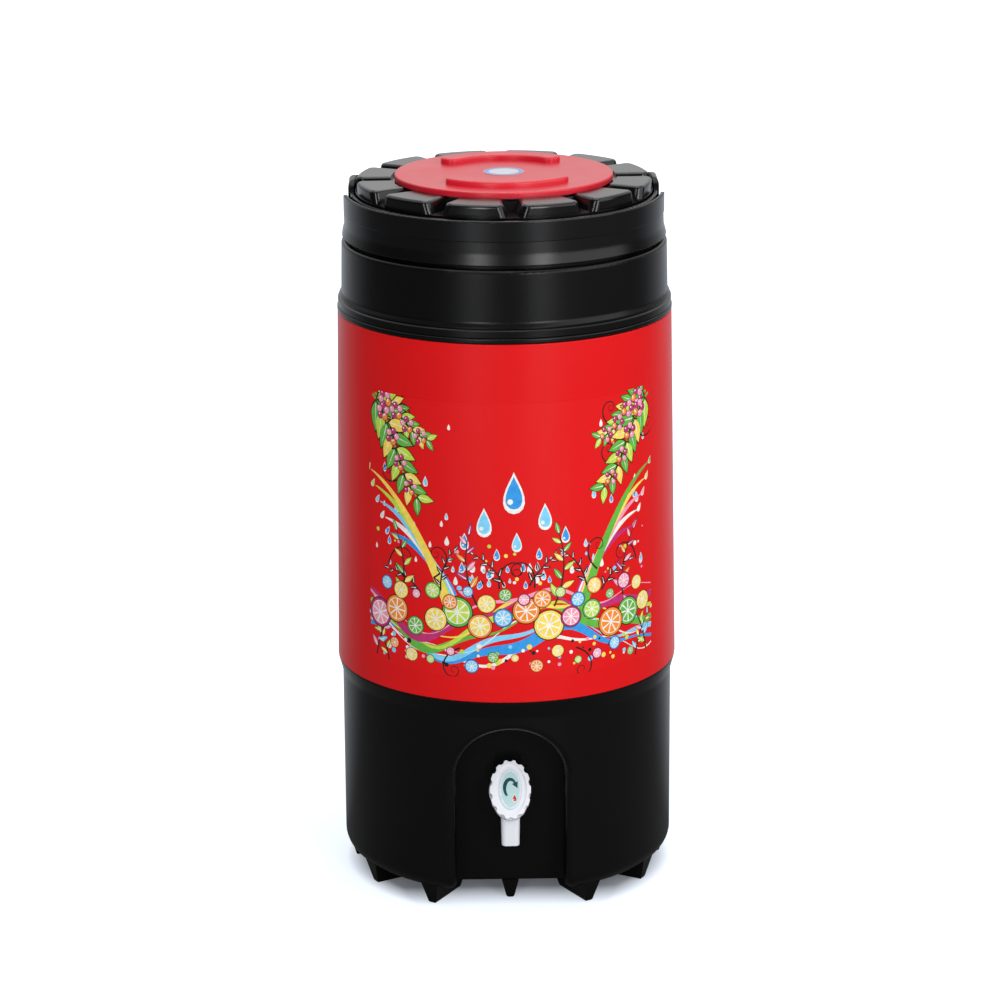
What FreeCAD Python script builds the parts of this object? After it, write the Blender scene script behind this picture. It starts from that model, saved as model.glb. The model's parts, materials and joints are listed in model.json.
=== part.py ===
import FreeCAD, Part
import math
import os
import types

import Sketcher
from FreeCAD import Vector

# An insulated water jug: a black base with an arched recess for the tap, a red sleeve, a black
# shoulder with a folding band handle, a lobed lid and a red filler cap in its middle.
# Frame: Z up from the floor, the jug's axis on Z, the tap toward -Y. Millimetres.

SIZES = {
    # Clearances, the reach of a cut past the face it opens, and the smallest rounding
    "seat_gap": 0.3,
    "run_gap": 0.05,
    "overshoot": 1.0,
    "fine_round": 0.3,
    # Base moulding
    "underside": 14.9,
    "base_radius": 136.1,
    "base_round": 13.3,
    "base_wall": 3.0,
    "waist_height": 169.0,
    "waist_round": 12.0,
    "lip_rise": 12.0,
    "lip_edge": 1.5,
    "lip_overhang": 3.3,
    "spigot_depth": 9.0,
    "spigot_wall": 2.5,
    "plug_radius": 9.0,
    "plug_lip": 3.0,
    "plug_head": 2.0,
    # Feet
    "foot_count": 12,
    "foot_width": 21.5,
    "foot_draft": 14.6,
    "foot_length": 55.2,
    "foot_inset": 0.9,
    "foot_round": 2.7,
    "front_foot_reach": 2.0,
    # Tap recess
    "recess_half_width": 43.8,
    "recess_crown": 156.6,
    "recess_depth": 39.1,
    "recess_round": 6.0,
    # Red sleeve and its printed film
    "sleeve_height": 290.9,
    "sleeve_overhang": 0.3,
    "sleeve_taper": 4.7,
    "sleeve_wall": 2.5,
    "sleeve_edge": 0.8,
    "film_bottom_inset": 20.5,
    "film_top_inset": 46.4,
    "film_thickness": 0.2,
    "film_angle": 109.5,
    "film_turn": 1.6,
    # Shoulder collar
    "flange_overhang": 0.2,
    "flange_height": 3.9,
    "flange_round": 1.2,
    "bead_step": 1.1,
    "band_inset": 0.7,
    "band_height": 5.2,
    "shoulder_inset": 3.55,
    "shoulder_taper": 0.85,
    "shoulder_height": 57.5,
    "shoulder_blend": 4.0,
    "shoulder_round": 3.2,
    "collar_wall": 3.0,
    "neck_inset": 8.0,
    "neck_wall": 2.4,
    "neck_height": 37.1,
    "neck_round": 1.0,
    "ledge_drop": 23.0,
    # Ears that carry the handle
    "ear_rise": 9.0,
    "ear_half_width": 17.0,
    "ear_depth": 12.0,
    "ear_corner": 12.0,
    "ear_brow": 6.0,
    # Liner
    "liner_inset": 8.4,
    "liner_wall": 2.5,
    "liner_round": 12.0,
    "rim_thickness": 2.5,
    "rim_edge": 0.6,
    "floor_foam": 18.1,
    "sump_gap": 6.0,
    "sump_taper": 4.0,
    "sump_clear": 5.4,
    "sump_slope": 23.0,
    "boss_radius": 20.0,
    "boss_depth": 13.7,
    # Carry handle, its washers and its pins
    "handle_lift": 3.2,
    "handle_height": 34.8,
    "handle_gap": 2.8,
    "handle_wall": 3.0,
    "handle_step": 0.6,
    "handle_flare": 1.8,
    "handle_round": 1.2,
    "skirt_height": 8.0,
    "skirt_blend": 14.0,
    "pivot_setback": 20.0,
    "knuckle_radius": 12.4,
    "taper_start": 16.0,
    "washer_thickness": 0.8,
    "washer_radius": 11.0,
    "pin_radius": 4.0,
    "pin_head_radius": 7.4,
    "pin_head": 1.7,
    "pin_edge": 0.6,
    "pin_reach": 1.5,
    # Lid
    "lid_clearance": 1.4,
    "lid_step": 1.2,
    "lid_wall": 3.0,
    "ring_height": 16.5,
    "lobe_count": 12,
    "lobe_height": 10.0,
    "lobe_inset": 0.5,
    "lobe_round": 3.0,
    "lobe_corner": 6.0,
    "notch_width": 14.7,
    "notch_draft": 19.0,
    "notch_reach": 11.0,
    "mouth_radius": 76.0,
    "hub_width": 14.5,
    "hub_height": 7.5,
    "lid_turn": 2.3,
    "plate_thickness": 2.9,
    "plate_inset": 0.8,
    "plate_edge": 0.8,
    "gasket_thickness": 2.6,
    "gasket_width": 6.0,
    # Filler cap
    "cap_overhang": 11.5,
    "cap_clear": 1.3,
    "cap_thickness": 5.0,
    "cap_under_round": 0.5,
    "cap_edge": 1.4,
    "cap_skirt_depth": 18.2,
    "cap_wall": 3.0,
    "seal_width": 5.0,
    "seal_thickness": 2.6,
    "grip_radius": 59.0,
    "grip_half_width": 9.0,
    "grip_half_angle": 42.0,
    "grip_height": 4.5,
    "grip_round": 2.0,
    "disc_radius": 16.5,
    "disc_thickness": 0.3,
    # Tap: flange, shank and nut
    "tap_drop": 64.0,
    "tap_flange_radius": 17.0,
    "tap_flange": 3.0,
    "tap_gasket": 2.0,
    "tap_washer": 2.0,
    "shank_radius": 10.0,
    "shank_bore": 6.0,
    "shank_margin": 4.5,
    "tap_edge": 1.0,
    "nut_radius": 17.0,
    "nut_corner_radius": 16.0,
    "nut_thickness": 8.0,
    # Tap: elbow, tilted barrel and spout
    "tap_tilt": 36.0,
    "elbow_reach": 6.5,
    "elbow_radius": 12.2,
    "elbow_neck": 11.0,
    "barrel_length": 10.6,
    "shank_way_stop": 3.0,
    "spout_lead": 4.5,
    "spout_half_width": 7.2,
    "spout_corner": 3.6,
    "spout_draft": 1.3,
    "spout_length": 40.0,
    "spout_bore": 4.2,
    # Tap: valve plug with its ring seal, and the bonnet
    "valve_radius": 8.2,
    "valve_back": 6.0,
    "valve_gap": 0.2,
    "valve_bore": 5.0,
    "valve_bore_depth": 10.0,
    "port_radius": 3.3,
    "port_setback": 0.4,
    "ring_section": 1.2,
    "ring_margin": 0.8,
    "bonnet_thickness": 2.0,
    "bonnet_inset": 0.4,
    "stem_radius": 5.0,
    "stem_depth": 3.0,
    # Tap knob
    "knob_half_width": 16.6,
    "knob_half_height": 24.8,
    "skirt_inset": 0.9,
    "knob_thickness": 10.5,
    "skirt_overlap": 5.5,
    "cup_gap": 0.5,
    "scallop_count": 14,
    "scallop_radius": 3.2,
    "scallop_offset": 1.6,
    "scallop_depth": 5.0,
    "knob_round": 0.7,
    "knob_edge": 0.4,
    "dish_margin": 3.6,
    "knob_dish": 1.0,
    "badge_half_width": 9.3,
    "badge_half_height": 16.8,
    "badge_thickness": 0.5,
}

SIDES = {"right": 1, "left": -1}


class Size(float):
    """A number that also knows the sheet expression that gives it."""

    def __new__(cls, number, text=None):
        size = float.__new__(cls, number)
        size.text = text or repr(float(number))
        return size

    def __add__(self, other):
        return combined(self, "+", other, float(self) + float(other))

    def __radd__(self, other):
        return combined(other, "+", self, float(other) + float(self))

    def __sub__(self, other):
        return combined(self, "-", other, float(self) - float(other))

    def __rsub__(self, other):
        return combined(other, "-", self, float(other) - float(self))

    def __mul__(self, other):
        return combined(self, "*", other, float(self) * float(other))

    def __rmul__(self, other):
        return combined(other, "*", self, float(other) * float(self))

    def __truediv__(self, other):
        return combined(self, "/", other, float(self) / float(other))

    def __neg__(self):
        return combined(0, "-", self, -float(self))


def text_of(value):
    """The expression text of a size or of a plain number."""
    return value.text if isinstance(value, Size) else repr(float(value))


def combined(first, sign, second, number):
    """The size that an arithmetic step gives."""
    return Size(number, "(%s %s %s)" % (text_of(first), sign, text_of(second)))


def half_chord(radius, away):
    """Half the chord that a circle leaves at a distance from its middle."""
    number = math.sqrt(float(radius) ** 2 - float(away) ** 2)
    return Size(number, "sqrt(%s ^ 2 - %s ^ 2)" % (text_of(radius), text_of(away)))


def along(radius, angle):
    """The two coordinates of a point on a circle, by its angle in degrees."""
    turn = math.radians(float(angle))
    across = Size(float(radius) * math.cos(turn), "(%s * cos(%s))" % (text_of(radius), text_of(angle)))
    up = Size(float(radius) * math.sin(turn), "(%s * sin(%s))" % (text_of(radius), text_of(angle)))
    return across, up


def bind(thing, path, value):
    """Gives a property its value from the sheet."""
    thing.setExpression(path, text_of(value))


doc = FreeCAD.newDocument("insulated_water_jug")
sheet = doc.addObject("Spreadsheet::Sheet", "Sizes")
for row, (alias, number) in enumerate(SIZES.items(), start=1):
    sheet.set("A%d" % row, alias)
    sheet.set("B%d" % row, str(number))
    sheet.setAlias("B%d" % row, alias)
doc.recompute()
d = types.SimpleNamespace(**{alias: Size(number, "Sizes." + alias) for alias, number in SIZES.items()})

# Radii that follow from the driving sizes, from the base up
base_bore = d.base_radius - d.base_wall
lip_radius = d.base_radius + d.lip_overhang
sleeve_radius = lip_radius + d.sleeve_overhang
sleeve_top_radius = sleeve_radius - d.sleeve_taper
base_spigot = sleeve_radius - d.sleeve_wall - 2 * d.seat_gap
base_spigot_bore = base_spigot - d.spigot_wall
flange_radius = sleeve_top_radius + d.flange_overhang
collar_spigot = sleeve_top_radius - d.sleeve_wall - d.seat_gap
collar_bore = collar_spigot - d.spigot_wall
band_radius = flange_radius - d.band_inset
shoulder_radius = flange_radius - d.shoulder_inset
shoulder_top_radius = shoulder_radius - d.shoulder_taper
neck_radius = shoulder_top_radius - d.neck_inset
neck_bore = neck_radius - d.neck_wall
lower_bore = neck_bore - d.collar_wall / 5
liner_radius = neck_bore - d.liner_inset
handle_bore = neck_radius + d.handle_gap
handle_radius = handle_bore + d.handle_wall
ear_face = handle_bore - d.washer_thickness - 2 * d.run_gap
lid_radius = neck_bore - d.lid_clearance
lid_skirt_radius = lid_radius - d.lid_step
lobe_radius = lid_radius - d.lobe_inset
hub_radius = d.mouth_radius + d.hub_width
seal_bore = d.mouth_radius + d.seat_gap
seal_seat_radius = d.mouth_radius + d.seal_width + 2 * d.seat_gap
cap_radius = d.mouth_radius + d.cap_overhang
cap_skirt_radius = d.mouth_radius - 2 * d.seat_gap
cap_bore = cap_skirt_radius - d.cap_wall
recess_back = d.base_radius - d.recess_depth
housing_back = recess_back - d.base_wall
sump_radius = housing_back - d.sump_gap
sump_bottom_radius = sump_radius - d.sump_taper

# Heights that follow, from the floor up
base_floor = d.underside + d.base_wall
foot_root = d.underside + d.base_round + d.lip_edge
lip_height = d.waist_height + d.lip_rise
sleeve_bottom = lip_height + d.lip_edge
base_top = sleeve_bottom + d.spigot_depth
film_bottom = sleeve_bottom + d.film_bottom_inset
sleeve_top = sleeve_bottom + d.sleeve_height
film_top = sleeve_top - d.film_top_inset
collar_bottom = sleeve_top - d.spigot_depth
flange_top = sleeve_top + d.flange_height
band_top = flange_top + d.bead_step + d.band_height
bead_top = band_top + 2.5 * d.bead_step
shoulder_start = bead_top + 3 * d.bead_step
shoulder_top = sleeve_top + d.shoulder_height
shoulder_ceiling = shoulder_top - d.collar_wall
neck_top = shoulder_top + d.neck_height
ear_top = neck_top + d.ear_rise
ledge_top = neck_top - d.ledge_drop
rim_top = ledge_top + d.rim_thickness
plate_bottom = rim_top + d.gasket_thickness
lid_bottom = plate_bottom + d.plate_thickness
notch_floor = lid_bottom + d.ring_height
lid_top = notch_floor + d.lobe_height
hub_top = notch_floor + d.hub_height
seat_top = hub_top + d.cap_clear
seal_bottom = seat_top - d.seal_thickness
cap_top = seat_top + d.cap_thickness
cap_bottom = seat_top - d.cap_skirt_depth
handle_bottom = shoulder_top + d.handle_lift
handle_top = handle_bottom + d.handle_height
pivot_z = handle_bottom + d.knuckle_radius
liner_bottom = base_floor + d.floor_foam
sump_top = d.recess_crown + d.base_wall + d.sump_clear
liner_shoulder = sump_top + d.sump_slope
tap_height = d.recess_crown - d.tap_drop

# Places along the tap from the jug's axis outward, then along its tilted barrel from the elbow outward
boss_front = housing_back - d.seat_gap
boss_back = boss_front - d.boss_depth
nut_seat = boss_back - d.tap_washer
nut_end = nut_seat - d.nut_thickness
shank_end = nut_end - d.shank_margin
flange_back = recess_back + d.tap_gasket
flange_front = flange_back + d.tap_flange
elbow_y = flange_front + d.elbow_reach
spout_y = elbow_y + d.spout_lead
bonnet_front = d.barrel_length + d.bonnet_thickness
knob_back = bonnet_front - d.skirt_overlap
knob_front = knob_back + d.knob_thickness
knob_seat = bonnet_front + 2 * d.run_gap
stem_end = knob_seat + d.stem_depth
skirt_half_width = d.knob_half_width - d.skirt_inset
skirt_half_height = d.knob_half_height - d.skirt_inset


def sleeve_outside(height):
    """The sleeve's outer radius at a height above the floor."""
    return sleeve_radius - (height - sleeve_bottom) * d.sleeve_taper / d.sleeve_height


def new_body(label, y=None, z=None):
    """An empty body, placed by its own reference point."""
    body = doc.addObject("PartDesign::Body", label)
    body.Label = label
    if y is not None:
        bind(body, "Placement.Base.y", y)
    if z is not None:
        bind(body, "Placement.Base.z", z)
    return body


def plane_of(body, role):
    """One of the body's own planes or axes."""
    return next(item for item in body.Origin.OriginFeatures if item.Role == role)


def sketch_on(body, name, plane, lift=None):
    """An empty sketch on one of the body's own planes, lifted off it where asked."""
    sketch = body.newObject("Sketcher::SketchObject", name)
    sketch.AttachmentSupport = (plane_of(body, plane), [""])
    sketch.MapMode = "FlatFace"
    if lift is not None:
        bind(sketch, "AttachmentOffset.Base.z", lift)
    doc.recompute()
    return sketch


def dimension(sketch, kind, *where):
    """A sketch dimension whose value comes from the sheet."""
    value = where[-1]
    index = sketch.addConstraint(Sketcher.Constraint(kind, *where[:-1], float(value)))
    if isinstance(value, Size):
        sketch.setExpression("Constraints[%d]" % index, value.text)


def pin_point(sketch, geometry, spot, across, up):
    """Fixes one point of a sketch by its two coordinates."""
    dimension(sketch, "DistanceX", -1, 1, geometry, spot, across)
    dimension(sketch, "DistanceY", -1, 1, geometry, spot, up)


def corner_arc(corner, before, after, radius):
    """The arc that rounds a corner, with its ends in the order of the outline."""
    half = before.getAngle(after) / 2
    trim = radius / math.tan(half)
    entry = corner + before * trim
    leave = corner + after * trim
    centre = corner + (before + after).normalize() * (radius / math.sin(half))
    turns_left = (after.cross(before)).z > 0
    first, last = (entry, leave) if turns_left else (leave, entry)
    start = math.atan2(first.y - centre.y, first.x - centre.x)
    end = math.atan2(last.y - centre.y, last.x - centre.x)
    arc = Part.ArcOfCircle(Part.Circle(centre, Vector(0, 0, 1), radius), start, end)
    return entry, leave, arc, turns_left


def outline(sketch, corners):
    """A closed outline of straight lines, where a corner's third number rounds it."""
    count = len(corners)
    spots = [Vector(float(corner[0]), float(corner[1]), 0) for corner in corners]
    entries = list(spots)
    leaves = list(spots)
    arcs = {}
    for index, corner in enumerate(corners):
        if len(corner) > 2:
            before = (spots[index - 1] - spots[index]).normalize()
            after = (spots[(index + 1) % count] - spots[index]).normalize()
            entry, leave, arc, turns_left = corner_arc(spots[index], before, after, float(corner[2]))
            entries[index] = entry
            leaves[index] = leave
            arcs[index] = (arc, turns_left)
    lines = []
    for index in range(count):
        line = Part.LineSegment(leaves[index], entries[(index + 1) % count])
        lines.append(sketch.addGeometry(line))
    for index, corner in enumerate(corners):
        into = lines[index - 1]
        out = lines[index]
        if index not in arcs:
            sketch.addConstraint(Sketcher.Constraint("Coincident", into, 2, out, 1))
            pin_point(sketch, out, 1, corner[0], corner[1])
            continue
        arc, turns_left = arcs[index]
        bend = sketch.addGeometry(arc)
        first, last = (1, 2) if turns_left else (2, 1)
        sketch.addConstraint(Sketcher.Constraint("Tangent", into, 2, bend, first))
        sketch.addConstraint(Sketcher.Constraint("Tangent", bend, last, out, 1))
        dimension(sketch, "Radius", bend, corner[2])
        mark = sketch.addGeometry(Part.Point(spots[index]), True)
        pin_point(sketch, mark, 1, corner[0], corner[1])
        sketch.addConstraint(Sketcher.Constraint("PointOnObject", mark, 1, into))
        sketch.addConstraint(Sketcher.Constraint("PointOnObject", mark, 1, out))


def circle(sketch, across, up, radius):
    """A circle with its middle and radius from the sheet."""
    middle = Vector(float(across), float(up), 0)
    index = sketch.addGeometry(Part.Circle(middle, Vector(0, 0, 1), float(radius)))
    pin_point(sketch, index, 3, across, up)
    dimension(sketch, "Radius", index, radius)


def ellipse(sketch, half_width, half_height):
    """An upright ellipse about the sketch's origin."""
    top = Vector(0, float(half_height), 0)
    side = Vector(float(half_width), 0, 0)
    index = sketch.addGeometry(Part.Ellipse(top, side, Vector(0, 0, 0)))
    sketch.exposeInternalGeometry(index)
    major = index + 1
    minor = index + 2
    sketch.addConstraint(Sketcher.Constraint("Coincident", index, 3, -1, 1))
    sketch.addConstraint(Sketcher.Constraint("Vertical", major))
    dimension(sketch, "Distance", major, 2 * half_height)
    dimension(sketch, "Distance", minor, 2 * half_width)


def bent_slot(sketch, radius, half_width, half_angle):
    """A slot that bends round the origin, with round ends, its middle toward -Y."""
    ends = [along(radius, -90 - half_angle), along(radius, -90 + half_angle)]
    low = math.radians(-90 - float(half_angle))
    high = math.radians(-90 + float(half_angle))
    up = Vector(0, 0, 1)
    origin = Vector(0, 0, 0)
    outer_circle = Part.Circle(origin, up, float(radius + half_width))
    inner_circle = Part.Circle(origin, up, float(radius - half_width))
    outer = sketch.addGeometry(Part.ArcOfCircle(outer_circle, low, high))
    inner = sketch.addGeometry(Part.ArcOfCircle(inner_circle, low, high))
    spots = [Vector(float(end[0]), float(end[1]), 0) for end in ends]
    start_circle = Part.Circle(spots[0], up, float(half_width))
    last_circle = Part.Circle(spots[1], up, float(half_width))
    start = sketch.addGeometry(Part.ArcOfCircle(start_circle, low + math.pi, low + 2 * math.pi))
    last = sketch.addGeometry(Part.ArcOfCircle(last_circle, high, high + math.pi))
    for arc in (outer, inner):
        sketch.addConstraint(Sketcher.Constraint("Coincident", arc, 3, -1, 1))
    sketch.addConstraint(Sketcher.Constraint("Tangent", outer, 1, start, 2))
    sketch.addConstraint(Sketcher.Constraint("Tangent", start, 1, inner, 1))
    sketch.addConstraint(Sketcher.Constraint("Tangent", outer, 2, last, 1))
    sketch.addConstraint(Sketcher.Constraint("Tangent", last, 2, inner, 2))
    dimension(sketch, "Radius", outer, radius + half_width)
    pin_point(sketch, start, 3, *ends[0])
    dimension(sketch, "DistanceX", -1, 1, last, 3, ends[1][0])


def finished(body, feature, before=None, adds=True):
    """Recomputes, and stops if a feature failed or changed nothing."""
    doc.recompute()
    if "Invalid" in feature.State or feature.Shape.isNull():
        raise RuntimeError("%s of %s failed" % (feature.Label, body.Label))
    if before is not None:
        change = feature.Shape.Volume - before
        if (change <= 0) if adds else (change >= 0):
            raise RuntimeError("%s of %s changed nothing" % (feature.Label, body.Label))
    return feature


def volume_so_far(body):
    """The body's volume before its next feature."""
    return body.Tip.Shape.Volume if body.Tip else 0


def revolve(body, name, sketch, axis="V_Axis", cut=False, angle=360, midplane=False):
    """Turns a sketch about one of its own axes."""
    before = volume_so_far(body)
    feature = body.newObject("PartDesign::Groove" if cut else "PartDesign::Revolution", name)
    feature.Profile = sketch
    feature.ReferenceAxis = (sketch, [axis])
    bind(feature, "Angle", angle)
    feature.Midplane = midplane
    return finished(body, feature, before, not cut)


def extrude(body, name, sketch, length=None, cut=False, reverse=False, midplane=False, draft=None):
    """Pads or pockets a sketch; without a length it cuts through everything."""
    before = volume_so_far(body)
    feature = body.newObject("PartDesign::Pocket" if cut else "PartDesign::Pad", name)
    feature.Profile = sketch
    if length is None:
        feature.Type = "ThroughAll"
    else:
        bind(feature, "Length", length)
    feature.Reversed = reverse
    feature.Midplane = midplane
    if draft is not None:
        bind(feature, "TaperAngle", draft)
    return finished(body, feature, before, not cut)


def polar(body, name, feature, count):
    """Repeats a feature round the vertical axis."""
    pattern = body.newObject("PartDesign::PolarPattern", name)
    pattern.Originals = [feature]
    pattern.Axis = (plane_of(body, "Z_Axis"), [""])
    pattern.Angle = 360
    bind(pattern, "Occurrences", count)
    body.Tip = pattern
    return finished(body, pattern)


def mirrored(body, name, features):
    """Repeats features on the other side of the body."""
    pattern = body.newObject("PartDesign::Mirrored", name)
    pattern.Originals = features
    pattern.MirrorPlane = (plane_of(body, "YZ_Plane"), [""])
    body.Tip = pattern
    return finished(body, pattern)


def subtract(body, name, tool):
    """Takes one body away from another."""
    before = volume_so_far(body)
    feature = body.newObject("PartDesign::Boolean", name)
    feature.Type = "Cut"
    feature.Group = [tool]
    return finished(body, feature, before, False)


def round_edges(body, name, radius, wanted):
    """Rounds the edges of the body so far for which the test holds."""
    base = body.Tip
    names = []
    for index, edge in enumerate(base.Shape.Edges, start=1):
        if wanted(edge):
            names.append("Edge%d" % index)
    if not names:
        raise RuntimeError("%s of %s found no edge" % (name, body.Label))
    feature = body.newObject("PartDesign::Fillet", name)
    feature.Base = (base, names)
    bind(feature, "Radius", radius)
    return finished(body, feature)


def near(value, target, slack=0.05):
    """Whether two lengths agree."""
    return abs(float(value) - float(target)) < slack


def level_at(edge, height):
    """Whether an edge lies level at a height."""
    return near(edge.BoundBox.ZMin, height) and near(edge.BoundBox.ZMax, height)


def arch_outline(sketch, half_width, crown, bottom):
    """A round arch on straight sides, open in plan view from the front."""
    centre = crown - half_width
    left = sketch.addGeometry(Part.LineSegment(Vector(-float(half_width), float(centre), 0),
                                               Vector(-float(half_width), float(bottom), 0)))
    floor = sketch.addGeometry(Part.LineSegment(Vector(-float(half_width), float(bottom), 0),
                                                Vector(float(half_width), float(bottom), 0)))
    right = sketch.addGeometry(Part.LineSegment(Vector(float(half_width), float(bottom), 0),
                                                Vector(float(half_width), float(centre), 0)))
    ring = Part.Circle(Vector(0, float(centre), 0), Vector(0, 0, 1), float(half_width))
    crown_arc = sketch.addGeometry(Part.ArcOfCircle(ring, 0, math.pi))
    sketch.addConstraint(Sketcher.Constraint("Coincident", left, 2, floor, 1))
    sketch.addConstraint(Sketcher.Constraint("Coincident", floor, 2, right, 1))
    sketch.addConstraint(Sketcher.Constraint("Tangent", right, 2, crown_arc, 1))
    sketch.addConstraint(Sketcher.Constraint("Tangent", crown_arc, 2, left, 1))
    sketch.addConstraint(Sketcher.Constraint("PointOnObject", crown_arc, 3, -2))
    dimension(sketch, "DistanceY", -1, 1, crown_arc, 3, centre)
    pin_point(sketch, floor, 1, -half_width, bottom)
    pin_point(sketch, right, 1, half_width, bottom)


def make_base_shell():
    """The base: wall, lip and spigot, the arched recess with its rounded mouth, and the drafted feet."""
    body = new_body("base_shell")
    outside = sketch_on(body, "outside", "XZ_Plane")
    outline(outside, [
        (0, d.underside),
        (d.base_radius, d.underside, d.base_round),
        (d.base_radius, d.waist_height, d.waist_round),
        (lip_radius, lip_height),
        (lip_radius, sleeve_bottom),
        (base_spigot, sleeve_bottom),
        (base_spigot, base_top),
        (0, base_top),
    ])
    revolve(body, "solid_form", outside)
    arch = sketch_on(body, "recess_outline", "XZ_Plane", recess_back)
    arch_outline(arch, d.recess_half_width, d.recess_crown, d.underside)
    extrude(body, "recess", arch, cut=True, reverse=True)
    round_edges(body, "recess_rounding", d.recess_round, recess_mouth_edge)
    foot = sketch_on(body, "foot_plan", "XY_Plane", foot_root)
    foot_outer = d.base_radius - d.foot_inset
    outline(foot, [
        (-d.foot_width / 2, -foot_outer),
        (d.foot_width / 2, -foot_outer),
        (d.foot_width / 2, d.foot_length - foot_outer),
        (-d.foot_width / 2, d.foot_length - foot_outer),
    ])
    pad = extrude(body, "foot", foot, foot_root, reverse=True, draft=-d.foot_draft)
    polar(body, "feet", pad, d.foot_count)
    round_edges(body, "foot_rounding", d.foot_round, lambda edge: level_at(edge, 0))
    extrude(body, "recess_over_front_foot", arch, cut=True, reverse=True)
    front = sketch_on(body, "front_foot_end", "XZ_Plane", recess_back + d.front_foot_reach)
    outline(front, [
        (-d.foot_width, -d.overshoot),
        (d.foot_width, -d.overshoot),
        (d.foot_width, d.underside),
        (-d.foot_width, d.underside),
    ])
    extrude(body, "front_foot_cut", front, cut=True, reverse=True)
    subtract(body, "hollowed", make_base_hollow())
    shank_hole = sketch_on(body, "shank_hole_outline", "XZ_Plane", recess_back + d.overshoot)
    circle(shank_hole, 0, tap_height, d.shank_radius + d.seat_gap)
    extrude(body, "shank_hole", shank_hole, 2 * d.base_wall, cut=True)
    filling_hole = sketch_on(body, "filling_hole_outline", "XY_Plane", d.underside - d.overshoot)
    circle(filling_hole, 0, 0, d.plug_radius + d.seat_gap)
    extrude(body, "filling_hole", filling_hole, 2 * d.base_wall, cut=True, reverse=True)
    return body


def make_base_hollow():
    """The space inside the base, which leaves a wall round the recess."""
    hollow = new_body("base_hollow")
    inside = sketch_on(hollow, "inside", "XZ_Plane")
    outline(inside, [
        (0, base_floor),
        (base_bore, base_floor, d.base_round - d.base_wall),
        (base_bore, d.waist_height),
        (base_spigot_bore, lip_height),
        (base_spigot_bore, base_top + d.overshoot),
        (0, base_top + d.overshoot),
    ])
    revolve(hollow, "form", inside)
    housing = sketch_on(hollow, "housing_outline", "XZ_Plane", housing_back)
    arch_outline(housing, d.recess_half_width + d.base_wall, d.recess_crown + d.base_wall, 0)
    extrude(hollow, "housing", housing, cut=True, reverse=True)
    return hollow


def recess_mouth_edge(edge):
    """Whether an edge is where the recess opens through the round wall."""
    box = edge.BoundBox
    in_front = box.YMax < -float(recess_back) - 0.5
    beside = abs(box.Center.x) < float(d.recess_half_width + d.base_round)
    between = float(d.underside) - 0.5 < box.ZMax < float(d.recess_crown + d.base_wall)
    return in_front and beside and between and not level_at(edge, d.underside)


def make_foam_plug():
    """The plug of the hole that the foam is filled through."""
    body = new_body("foam_plug", z=d.underside)
    profile = sketch_on(body, "profile", "XZ_Plane")
    head_radius = d.plug_radius + d.plug_lip
    outline(profile, [
        (0, -d.plug_head),
        (head_radius, -d.plug_head, d.plug_head / 2),
        (head_radius, 0),
        (d.plug_radius, 0),
        (d.plug_radius, d.base_wall),
        (0, d.base_wall),
    ])
    revolve(body, "plug", profile)
    return body


def make_outer_shell():
    """The red sleeve, a thin tube that narrows a little toward the top."""
    body = new_body("outer_shell")
    profile = sketch_on(body, "profile", "XZ_Plane")
    outline(profile, [
        (sleeve_radius - d.sleeve_wall, sleeve_bottom),
        (sleeve_radius, sleeve_bottom, d.sleeve_edge),
        (sleeve_top_radius, sleeve_top, d.sleeve_edge),
        (sleeve_top_radius - d.sleeve_wall, sleeve_top),
    ])
    revolve(body, "tube", profile)
    return body


def make_front_label():
    """The printed film on the front of the sleeve."""
    body = turned_body("front_label", d.film_turn)
    low = sleeve_outside(film_bottom) + d.run_gap
    high = sleeve_outside(film_top) + d.run_gap
    profile = sketch_on(body, "profile", "YZ_Plane")
    outline(profile, [
        (-low, film_bottom),
        (-high, film_top),
        (-high - d.film_thickness, film_top),
        (-low - d.film_thickness, film_bottom),
    ])
    revolve(body, "film", profile, angle=d.film_angle, midplane=True)
    return body


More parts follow.
